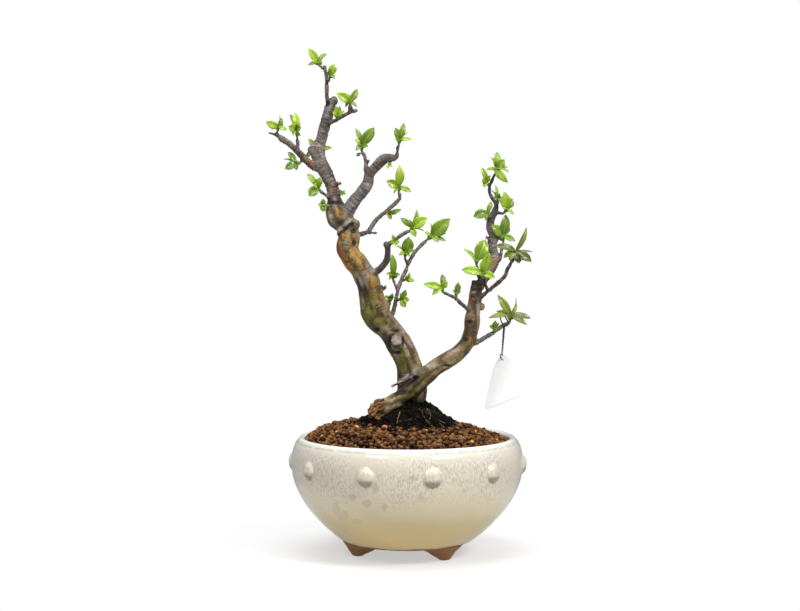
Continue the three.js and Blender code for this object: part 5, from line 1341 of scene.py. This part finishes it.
# %% [markdown]
# ## The leaves' finish
# Young quince leaves are thin, glossy and yellow-green, paler along the midrib, with side veins that
# run out to a finely toothed edge. Veins and edge follow the leaf's own map, so each blade carries
# the same pattern at its own size. Each blade also has its own tone.
# %% Leaf green
def leaf_finish(name, deep, fresh, tip, share):
    """A leaf's finish from its deep and fresh green, and a tint towards the edge."""
    made, place, skin = finish(name)
    blade = place.node("UVMap", {"uv_map": "blade"})
    across, along = (blade.node("SeparateXYZ", {}, {0: blade}, out=k) for k in (0, 1))
    tone = place.read("tone")
    out = place.sum("ABSOLUTE", across - 0.5) * 2
    midrib = 1 - out.rise(0.02, 0.1)
    wave = place.sum("SINE", along * 62 - out * 22)
    veins = wave.rise(0.75, 1.0) * (1 - out.rise(0.75, 1.0))
    net = place.grains(1500, 2.0, 0.6)
    colour = (tone + (net - 0.5) * 0.35).rise(0.1, 0.9).over(deep, fresh)
    colour = ((1 - along.rise(0.0, 0.35)) * 0.5).over(colour, deep)
    colour = (veins * 0.2).over(colour, ink("a4c244"))
    colour = (midrib * 0.5).over(colour, ink("b4cf62"))
    colour = ((out.rise(0.6, 1.0) + along.rise(0.7, 1.0)) * (share / 2)).over(colour, tip)
    height = veins * -0.5 + midrib * -0.6 + net * 0.3
    dress(
        skin,
        Base_Color=colour,
        Roughness=0.24 + net * 0.2,
        Specular_IOR_Level=0.6,
        Subsurface_Weight=0.08,
        Subsurface_Radius=(0.7, 0.8, 0.1),
        Subsurface_Scale=0.001,
        Coat_Weight=0.25,
        Coat_Roughness=0.1,
        Normal=height.bump(0.0004, 0.6),
    )
    return made


green = leaf_finish("young leaf", ink("5c7c06"), ink("98b818"), ink("7f9626"), 0.25)
olive = leaf_finish("olive leaf", ink("4c5e0c"), ink("8f9c26"), ink("8a5a38"), 0.4)
dried = leaf_finish("dry petal", ink("3b2a1e"), ink("6b4c30"), ink("8a6a40"), 0.5)
print("leaf finishes:", green.name, olive.name, dried.name)
# %% [markdown]
# ## One blade
# All blades share one pattern: a flat grid, narrowed row by row to an outline that is widest past
# its middle, with small forward teeth on its edge. It is modelled once. A copy is then bent for each
# place: folded at the midrib, arched along its length, and turned the way the real one faces.
# %% The pattern blade
COLUMNS, ROWS = 8, 30
clear_bench()
bpy.ops.mesh.primitive_grid_add(x_subdivisions=COLUMNS, y_subdivisions=ROWS, size=2)
pattern = bpy.context.object
flat = np.array([v.co[:2] for v in pattern.data.vertices])
PATTERN_FACES = [tuple(p.vertices) for p in pattern.data.polygons]
bpy.data.objects.remove(pattern)
CROSS, ALONG = flat[:, 0], (flat[:, 1] + 1) / 2
print("the pattern blade has", len(PATTERN_FACES), "faces")


def outline(t, full):
    """Half width of a blade along its length, from 0 to 1."""
    body = np.sin(np.pi * np.clip(t, 0, 1) ** full) ** 0.72
    return np.clip(0.07 + 0.93 * body * np.clip((1.02 - t) * 5, 0, 1) ** 0.5, 0, 1) * (t < 0.999)


def bend_blade(root, tip, width, turn, seed):
    """The points of one blade between two places, in mm."""
    heading = tip - root
    length = np.linalg.norm(heading)
    heading = heading / length
    face = np.array([0.0, -1.0, 0.0])
    face -= heading * (face @ heading)
    if np.linalg.norm(face) < 0.15:
        face = np.array([0, 0, 1.0]) - heading * heading[2]
    face = unit(face)
    angle = math.radians(-turn if abs(heading[2]) < 0.75 and heading[0] > 0 else turn)
    face = face * math.cos(angle) + np.cross(heading, face) * math.sin(angle)
    side = np.cross(heading, face)
    full = 0.82 + 0.3 * chance(seed + 3)
    half = outline(ALONG, full)
    row = np.round(ALONG * ROWS).astype(int)
    teeth = np.where(row % 2 == 0, 0.07, -0.03) * (np.abs(CROSS) > 0.99) * (length > 6)
    out = CROSS * (half + teeth * np.sin(np.pi * ALONG)) * width / 2
    reach = np.abs(out)
    fold = 0.2 + 0.34 * chance(seed + 5)
    curl = 0.5 + 1.1 * chance(seed + 7)
    up = fold * reach - curl * reach**2 / max(width, 1) * 0.35
    up += 0.035 * width * np.sin(ALONG * (9 + 5 * chance(seed)) + seed + CROSS * 1.5) * np.abs(CROSS)
    up += 0.11 * length * np.sin(np.pi * ALONG) - 0.05 * length * ALONG**4 * chance(seed + 9)
    sway = 0.05 * length * (chance(seed + 11) - 0.5) * np.sin(np.pi * ALONG)
    flat_way = root + np.outer(ALONG * length, heading)
    return flat_way + np.outer(out + sway, side) + np.outer(up, face)
# %% [markdown]
# ## The leaf clusters
# A cluster is a short stem from its bud to its heart, its blades, and small leaflets round the foot.
# Each line gives the bud, the heart, and the blades: tip as u, v and depth past the heart in mm,
# width in steps, and how far the face is turned from the viewer in degrees.
# %% The clusters
SPRAYS = [
    ((321, 67.6, 8), (318.6, 64, 8), [
        (309.2, 49.6, -3, 7, 10), (327, 54.7, 5, 4.8, 30), (308.5, 66.3, 5, 4.4, 40),
        (312, 60.4, -5, 3.6, 20),
    ]),
    ((329.8, 79.4, 6), (331, 76, 5), [
        (334.8, 65.2, -2, 7.8, 15), (335.2, 79.8, -4, 3.8, 40), (329.2, 69.6, -4, 3.6, 30),
    ]),
    ((350.4, 106, 6), (350, 102.4, 6), [
        (337.1, 94.1, -3, 8.4, 12), (357.5, 90.2, 3, 6.4, 20), (356.9, 107, -4, 3.8, 30),
        (345.6, 107.8, 3, 3.6, 40), (348.2, 94.6, 5, 3.2, 40),
    ]),
    ((337.6, 119.2, 3), (337.6, 116, 1), [
        (336.2, 106.4, -2, 5.4, 15), (340.4, 107, 3, 4.4, 40), (344.5, 112.1, -4, 4, 20),
        (332.8, 112.6, -4, 3.6, 25),
    ]),
    ((278, 131.4, -12), (279, 127.8, -12), [
        (266.7, 122.7, -3, 7.6, 8), (282.5, 118.7, 2, 4.6, 25), (280.4, 115.6, 5, 2.2, 50),
        (287.2, 130.4, -3, 4.4, 25), (283.6, 125, 6, 4, 30),
    ]),
    ((297.6, 138, -2), (296.6, 130.4, -2), [
        (295.7, 113, 2, 7.6, 15), (290.4, 114.4, 6, 5.4, 40), (289, 126.8, -7, 8, 10),
        (301.2, 127.6, -6, 8, 15), (300.6, 124.2, 5, 4, 40), (293.4, 135.8, -5, 3.6, 20),
        (301, 136.8, -3, 2.4, 30),
    ]),
    ((300, 163.6, 0), (296.8, 163, -1), [
        (288.5, 152.2, 3, 5.6, 20), (283.7, 159, 4, 2.4, 50), (285.4, 169.3, -3, 7.4, 12),
        (296.8, 170.2, -5, 5.2, 20),
    ]),
    ((316.3, 150.4, 21.6), (316, 150, 24), [
        (309.2, 139, 3, 5.2, 10), (305.9, 158.5, 2, 4.8, 20), (332.3, 148, 2, 4.8, 10),
    ]),
    ((320, 190.8, -1), (317.8, 187, -2), [
        (307.4, 173.6, 2, 5.8, 20), (319.8, 177.8, -3, 7.4, 12), (309.4, 196.4, -4, 9.2, 8),
        (314, 185.8, -7, 5, 30),
    ]),
    ((325.8, 205, -3.4), (323.4, 204.4, -5), [
        (318.4, 205.4, -2, 4.4, 20), (323.2, 198.8, -2, 4.4, 20), (324, 211.8, -3, 6.2, 15),
    ]),
    ((399, 144.6, -20), (399.6, 140.4, -20), [
        (403.9, 123.5, 2, 6, 15), (395.1, 128.1, -3, 6.4, 12), (411.5, 139.4, -2, 4.2, 30),
        (407.6, 133, 4, 2.4, 50), (395.2, 140, -5, 3.8, 30),
    ]),
    ((361.9, 151.4, -12), (361.6, 146.2, -12), [
        (374.4, 128, -2, 9.8, 8), (356, 128.8, 4, 5, 25), (355.2, 139.4, -3, 3.8, 30),
        (356.2, 150.6, -5, 4.8, 20), (368, 146.6, -5, 5.4, 25), (368.6, 141.4, 3, 2.4, 50),
    ]),
    ((398.9, 191.8, 32), (398.9, 187.2, 32), [
        (399.6, 165.8, -2, 8.6, 12), (386.7, 180.8, -4, 8, 8), (411.3, 191.8, -2, 5.4, 15),
        (392, 186.8, 5, 2.8, 30), (393.4, 193.4, -4, 2.6, 30),
    ]),
    ((388, 214, 17.6), (389.8, 214.2, 15), [
        (401.2, 209.6, -3, 4.8, 20), (391.2, 219, -3, 4.4, 25), (392.6, 211.6, -5, 3.2, 30),
    ]),
    ((393.7, 242.2, -31), (394, 241.4, -33), [
        (392.4, 234.6, -2, 3.4, 20), (399.6, 242.2, -2, 3.2, 30), (397.6, 247, -3, 3.2, 20),
    ]),
    ((410.4, 230.4, -31), (412.2, 227.4, -31), [
        (400.4, 217.9, 2, 5.6, 15), (417.3, 209.6, 3, 5, 30), (427.2, 218, -3, 10, 12),
        (415.6, 236.8, -4, 5.6, 10), (424.6, 231, 3, 2, 40), (409.6, 219.8, -4, 2.6, 40),
    ]),
    ((404.9, 257.4, 26), (405.4, 252, 26), [
        (409.1, 236.7, -3, 11.4, 10), (399.2, 254.8, -3, 4.4, 25), (415.4, 250.8, -4, 4, 30),
        (396.6, 245.2, 3, 2.6, 40), (409.8, 256.4, -4, 3.2, 30),
    ]),
    ((426.6, 240, 34), (431.6, 236.2, 33), [
        (449.4, 218.7, -4, 13.6, 8), (445.9, 240.8, -3, 4, 25), (438.6, 241.6, -6, 5, 20),
        (431, 223.2, 3, 3, 35), (424.8, 232, 3, 4, 30), (446.2, 233, 2, 3.2, 20),
    ]),
    ((392.9, 279, 19), (392.9, 275.2, 19), [
        (392.2, 254.1, -2, 6.8, 15), (386.6, 273, -3, 3.6, 30), (400, 274.2, -3, 4, 25),
        (389, 279.4, -3, 2.8, 30),
    ]),
    ((405.5, 279.5, 18.6), (407, 278.8, 17), [
        (414.4, 281.6, -3, 4, 20), (409.4, 272.6, -2, 3.4, 35), (411, 276.6, 3, 3, 30),
    ]),
    ((399.9, 299.4, 10.6), (401.4, 299, 9), [
        (405.8, 289.9, -2, 5.4, 15), (409.4, 300, -3, 6.2, 10), (405.4, 307.4, -3, 6.2, 12),
        (400.4, 293.4, -4, 4.4, 30),
    ]),
    ((389.7, 301.4, 6), (389.8, 299, 5), [
        (383.6, 297.4, -3, 5, 20), (392.6, 293.6, -3, 4.8, 25),
    ]),
    ((514.9, 256.2, -45), (515.6, 251, -45), [
        (494, 245.6, -3, 6.8, 35), (526.8, 227.2, 3, 5, 20), (531.4, 261.4, -4, 8, 12),
        (503.4, 257.4, 3, 5.4, 30), (509, 260, -5, 6.6, 20), (532.7, 251.4, 3, 1.6, 30),
    ]),
    ((483.2, 278, -36), (482.6, 273, -36), [
        (461.6, 269.6, -3, 8.6, 20), (489.4, 253, -2, 9.8, 12), (495.1, 277.2, -4, 6.6, 12),
        (480.6, 262.4, 5, 5, 30), (488.6, 265.8, 5, 4.4, 40),
    ]),
    ((476.5, 264.6, -22), (476.6, 260.4, -22), [
        (484.8, 239.6, 3, 13.6, 12), (463.9, 248.6, 2, 3.8, 35), (470.6, 254.6, -3, 4.4, 30),
    ]),
    ((495.4, 172.8, -8), (495.8, 168.6, -8), [
        (497, 151.8, 3, 7.4, 15), (504.5, 160, -3, 8.8, 10), (486, 169.8, 3, 3.2, 25),
        (507.4, 167.8, -4, 4, 30), (507, 182.8, -4, 6.6, 10), (490.2, 157, 6, 2, 50),
        (508.9, 172.4, 4, 2.4, 40), (498, 178.8, -5, 3.2, 30),
    ]),
    ((487.3, 184.6, -6.4), (486.2, 181, -7), [
        (480.9, 167.3, -2, 5, 15), (481.8, 180.4, -4, 4.6, 25), (490.6, 175.6, -5, 3.6, 30),
        (483.4, 187.6, -3, 4.6, 20),
    ]),
    ((497.5, 201.4, 4.2), (497.4, 198.2, 5), [
        (495.4, 184.8, 3, 2.6, 20), (499.2, 193.6, -3, 3, 20), (491.6, 190.4, 5, 2.4, 40),
        (501.6, 197.8, 3, 2.8, 30),
    ]),
    ((503.8, 213, -1.4), (506.6, 209, -2), [
        (504.2, 192.2, -3, 10.6, 12), (511.6, 198.6, 3, 8.2, 10), (497.8, 198.2, 4, 3.4, 20),
        (513.6, 214.7, -3, 3.4, 25), (501.6, 206.6, -4, 4, 30),
    ]),
    ((487.8, 214.6, -0.6), (486.8, 211.6, -2), [
        (473.6, 216.6, -3, 8.8, 10), (491.2, 201.7, 2, 5, 15), (486, 220.8, -4, 3.8, 25),
    ]),
    ((503.1, 241.8, 3), (502.8, 235.6, 2), [
        (491.8, 225, -4, 9.4, 12), (505.6, 214.8, -2, 9.4, 15), (509.4, 228, 4, 6.4, 30),
        (514.9, 241, -3, 5.6, 12), (498, 239.8, 4, 3.6, 30),
    ]),
    ((442.7, 291.8, -40), (442.4, 287.4, -40), [
        (423.8, 284, -3, 6.8, 15), (442.1, 273.9, 3, 5.8, 20), (447.4, 281.8, -3, 6, 15),
        (432.2, 294.6, -4, 5, 20),
    ]),
    ((456.2, 295.4, -35), (456.5, 292.4, -35), [
        (458.3, 282.2, -1, 5.8, 15), (460.8, 290.6, 3, 3, 30),
    ]),
    ((509.8, 321.6, 4), (510.6, 315, 4), [
        (497.9, 295.1, -2, 7.4, 15), (488.8, 317.6, -7, 5.6, 40), (496.5, 311, 4, 5.6, 45),
        (531.2, 318.2, -2, 6.6, 40), (527, 324.4, -7, 6, 35), (517, 303.8, 4, 3.8, 25),
        (516.5, 297.2, 7, 1.6, 40),
    ]),
    ((494.1, 331.4, -7.6), (494.4, 328, -8), [
        (495.4, 320.6, -1, 5.6, 12), (499.4, 322.8, 2, 3.8, 25), (489.8, 325.4, -2, 3.6, 25),
    ]),
]
OLIVE, LEAFLETS = (23, 34), 7
LEAF_EDGE, LEAF_THICKNESS, LEAF_WIDTH = 115.7, 0.34, 1.06


def make_stem(bud, heart):
    """The short knobbed stem of a cluster."""
    way = unit(heart - bud)
    clear_bench()
    long = np.linalg.norm(heart - bud) + 1.2
    middle = Vector((bud + heart) / 2 * MM)
    turn = Vector(way).to_track_quat("Z", "Y").to_euler()
    bpy.ops.mesh.primitive_uv_sphere_add(segments=14, ring_count=12, radius=MM, location=middle,
                                         rotation=turn, scale=(1.35, 1.35, long * 0.62))
    made = bpy.context.object
    apply_place()
    points = points_of(made)
    knobs = np.array([[0.25 * noise.noise(Vector(p) * 0.9)] for p in points])
    put_points(made, points + normals_of(made) * knobs)
    mark(made, "tone", [0.2] * len(made.data.vertices))
    return made


def spray(name, number, bud, heart, blades, material, node, extra):
    """One leaf cluster as one mesh, with extra leaflets round its foot."""
    bud, middle = at(*bud), at(*heart)
    way = unit(middle - bud)
    parts = []

    def add(root, tip, width, turn, seed):
        shape = bend_blade(root, tip, width, turn, seed)
        shape[:, 0] = np.minimum(shape[:, 0], LEAF_EDGE)
        parts.append((shape, PATTERN_FACES, [0.05 + 0.9 * chance(seed + 13)] * len(shape)))

    for i, (u, v, deep, width, turn) in enumerate(blades):
        tip = at(u, v, heart[2] + deep)
        add(middle, tip, width * GRID * LEAF_WIDTH, turn, number * 31 + i * 3)
    aside = unit(np.cross(way, [0.3, 0.2, 0.9]))
    other = np.cross(way, aside)
    for i in range(extra):
        seed = number * 7 + i * 5
        a = 2.4 * i + 1.5 * chance(seed)
        out = aside * math.cos(a) + other * math.sin(a)
        foot = bud + way * (0.6 + 0.5 * np.linalg.norm(middle - bud) * chance(seed + 1))
        lean = unit(out + way * (0.5 + 0.9 * chance(seed + 2)))
        size = 2.6 + 3.2 * chance(seed + 3)
        add(foot, foot + lean * size, size * (0.36 + 0.2 * chance(seed + 4)), 25 * chance(seed), seed)
    made = gather(name, parts)
    places = np.tile(np.column_stack([CROSS / 2 + 0.5, ALONG]), (len(parts), 1))
    corners = np.empty(len(made.data.loops), dtype=np.int64)
    made.data.loops.foreach_get("vertex_index", corners)
    made.data.uv_layers.new(name="blade").data.foreach_set("uv", places[corners].ravel())
    modify(made, "SOLIDIFY", thickness=LEAF_THICKNESS * MM, offset=-1)
    return settle(join(made, make_stem(bud, middle)), node, material)


for n, (bud, heart, blades) in enumerate(SPRAYS, 1):
    material, slot = (olive, "leaf_olive") if n in OLIVE else (green, "leaf_green")
    spray(f"leaves_{n:02d}", n, bud, heart, blades, material, f"spray_{n:02d}", LEAFLETS)
DRY_PETALS = [(519, 263, -2, 6.4, 15), (522.8, 259.6, 2, 4.8, 30), (514.4, 259.6, -2, 4.4, 30)]
spray("dry_flower_petals", 99, (517.6, 254.4, -49.4), (518.4, 256.4, -51), DRY_PETALS, dried,
      "dry_flower", 3)
# %% [markdown]
# ## Buds on bare wood
# A few tiny leaves have broken out of the bare limbs. Each stands on the side of the limb that the
# viewer sees, so its place on the front view is enough to find its foot.
# %% Small buds
def on_wood(u, v):
    """The depth of the wood's near side at a place on the front view."""
    ring_u, ring_v = on_view(RINGS)
    row = RINGS[np.argmin(np.hypot(ring_u - u, ring_v - v))]
    return row[1] - 0.6 * row[3]


BUDS = [  # u, v, size in steps, and whether it is a dry one
    (342.3, 193.2, 3.6, False), (338.8, 184, 2.6, True), (389.4, 164.6, 2.6, False),
    (383.4, 288, 3.4, True), (330, 172, 1.8, True), (487.6, 238, 2.4, True),
]
for n, (u, v, long, dry) in enumerate(BUDS, 41):
    y = on_wood(u, v)
    blades = [
        (u - long * 0.8, v - long, -1, long * 0.5, 20),
        (u + long * 0.9, v - long * 0.7, -2, long * 0.5, 30),
        (u + long * 0.1, v + long * 0.8, -2, long * 0.45, 10),
    ]
    material = dried if dry else green
    spray(f"bud_{n:02d}", n, (u, v, y + 1), (u, v, y - 0.8), blades, material, "wood", 2)
# %% [markdown]
# ## The hanging card and its wire
# A small white card hangs on dark coated wire from the lowest right twig. It is a thin sheet with
# rounded corners and a punched hole, bowed a little by its own weight, and both faces are bare. The
# wire is looped over the twig and through the hole.
# %% Card
card_white, place, skin = finish("white card")
fibre = place.grains(700, 3.0, 0.6)
paint = fibre.over(ink("efefed"), ink("fbfbfa"))
dress(skin, Base_Color=paint, Roughness=0.55 + fibre * 0.1, Normal=fibre.bump(0.0002, 0.3))
coated, place, skin = finish("dark coated wire")
dust = place.grains(800, 3.0, 0.6)
paint = dust.over(ink("121113"), ink("2c2a2b"))
dress(skin, Base_Color=paint, Roughness=0.35 + dust * 0.25, Normal=dust.bump(0.0002, 0.4))
across = unit(np.array([30.4, -20, 15.0]))
up = np.array([0, 28.5, 38.0])
up = unit(up - across * (across @ up))
out = np.cross(across, up)
TOP, CARD_THICKNESS = at(502.2, 356.6, 1), 0.5
HOLE_REACH, HOLE_DROP, HOLE_SIDES = 1.7, 3.4, 24
OUTLINE = [(3, 0), (5.4, 2.2), (10.4, 10.4), (19.6, 44.5), (19.2, 46.8), (17, 47.5)]
edge = [(x, -y) for x, y in OUTLINE] + [(-x, -y) for x, y in OUTLINE[::-1]]
rounded = [r[:2] for r in course([(*q, 0) for q in [*edge, edge[0]]], 1.1)[:-1]]
hole = [(HOLE_REACH * math.cos(t), HOLE_REACH * math.sin(t) - HOLE_DROP)
        for t in np.linspace(0, 2 * np.pi, HOLE_SIDES + 1)[:-1]]
sheet = bpy.data.meshes.new("bare_card")
loops = []
for border in (rounded, hole):
    start = len(loops)
    loops += [(start + i, start + (i + 1) % len(border)) for i in range(len(border))]
sheet.from_pydata([(x * MM, y * MM, 0) for x, y in [*rounded, *hole]], loops, [])
card = bpy.data.objects.new("bare_card", sheet)
bpy.context.scene.collection.objects.link(card)
pick(card)
bpy.ops.object.mode_set(mode="EDIT")
bpy.ops.mesh.select_all(action="SELECT")
bpy.ops.mesh.fill(use_beauty=True)
bpy.ops.mesh.subdivide(number_cuts=2)
bpy.ops.object.mode_set(mode="OBJECT")
modify(card, "SOLIDIFY", thickness=CARD_THICKNESS * MM, offset=0)
flat = points_of(card)
bow = 0.0006 * flat[:, 1] ** 2 - 0.0012 * flat[:, 0] ** 2
flat[:, 2] += bow
put_points(card, TOP + flat @ np.stack([across, up, out]))
settle(card, "tag", card_white)
bpy.ops.object.shade_smooth_by_angle(angle=math.radians(35))
# %% Wire
LOOP_AT = at(504.2, 320.6, 1)
LOOP_REACH, EYE_REACH = 5.2, 2.7
EYE_AT = TOP - up * HOLE_DROP + up * EYE_REACH
TURNS, SHANK_ROWS = 5.5, 70


def wire_ring(reach, thick, place, facing):
    """A ring of wire at a place, facing a way."""
    clear_bench()
    turn = Vector(facing).to_track_quat("Z", "Y").to_euler()
    bpy.ops.mesh.primitive_torus_add(major_segments=48, minor_segments=10, major_radius=reach * MM,
                                     minor_radius=thick * MM, location=Vector(place) * MM, rotation=turn)
    apply_place()
    return bpy.context.object


rings = [wire_ring(LOOP_REACH, 0.6, LOOP_AT, (0.75, -0.5, 0.4)), wire_ring(EYE_REACH, 0.5, EYE_AT, across)]
start, end = LOOP_AT - [0, 0, 5.0], EYE_AT + up * 2.5
twist = []
for phase in (0, math.pi):
    path = []
    for t in np.linspace(0, 1, SHANK_ROWS):
        a = phase + t * 2 * np.pi * TURNS
        path.append(start + (end - start) * t + np.array([math.cos(a), math.sin(a), 0]) * 0.52)
    twist.append(thread(path, 1.3, 0, 8))
shank = settle(gather("card_wire", twist), "tag_tie", coated)
for ring in rings:
    ring.data.materials.append(coated)
join(shank, *rings)
print("the wire has", len(shank.data.polygons), "faces")
# %% [markdown]
# ## Room and size
# A plain pale floor carries the pot and fades into the pale room a little way off. The boxes of the
# CAD model and of the dressed model are written down side by side, because the dressed one has to
# stay inside the other.
# %% Floor
paper, place, skin = finish("pale paper floor")
reach = place.node("VectorMath", {"operation": "LENGTH"}, {0: place}, out=1)
dress(
    skin,
    Base_Color=reach.rise(0.0, 0.6).over(ink("f4f4f4"), ink("ffffff")),
    Roughness=0.9,
    Specular_IOR_Level=0.1,
    Alpha=(1 - reach.rise(0.12, 0.34)) * 0.5,
)
clear_bench()
bpy.ops.mesh.primitive_plane_add(size=8, location=(0, 0, -0.0002))
floor = bpy.context.object
floor.name = "floor"
floor.data.materials.append(paper)
floor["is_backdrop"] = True
print("the floor is", [round(d, 1) for d in floor.dimensions[:2]], "m")
# %% Sizes and the end
clear_bench()
boxes = {"cad": [list(map(float, c)) for c in cad_box], "visual": [list(map(float, c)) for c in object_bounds()]}
for name, box in boxes.items():
    print(name, [[round(v * 1000, 1) for v in corner] for corner in box])
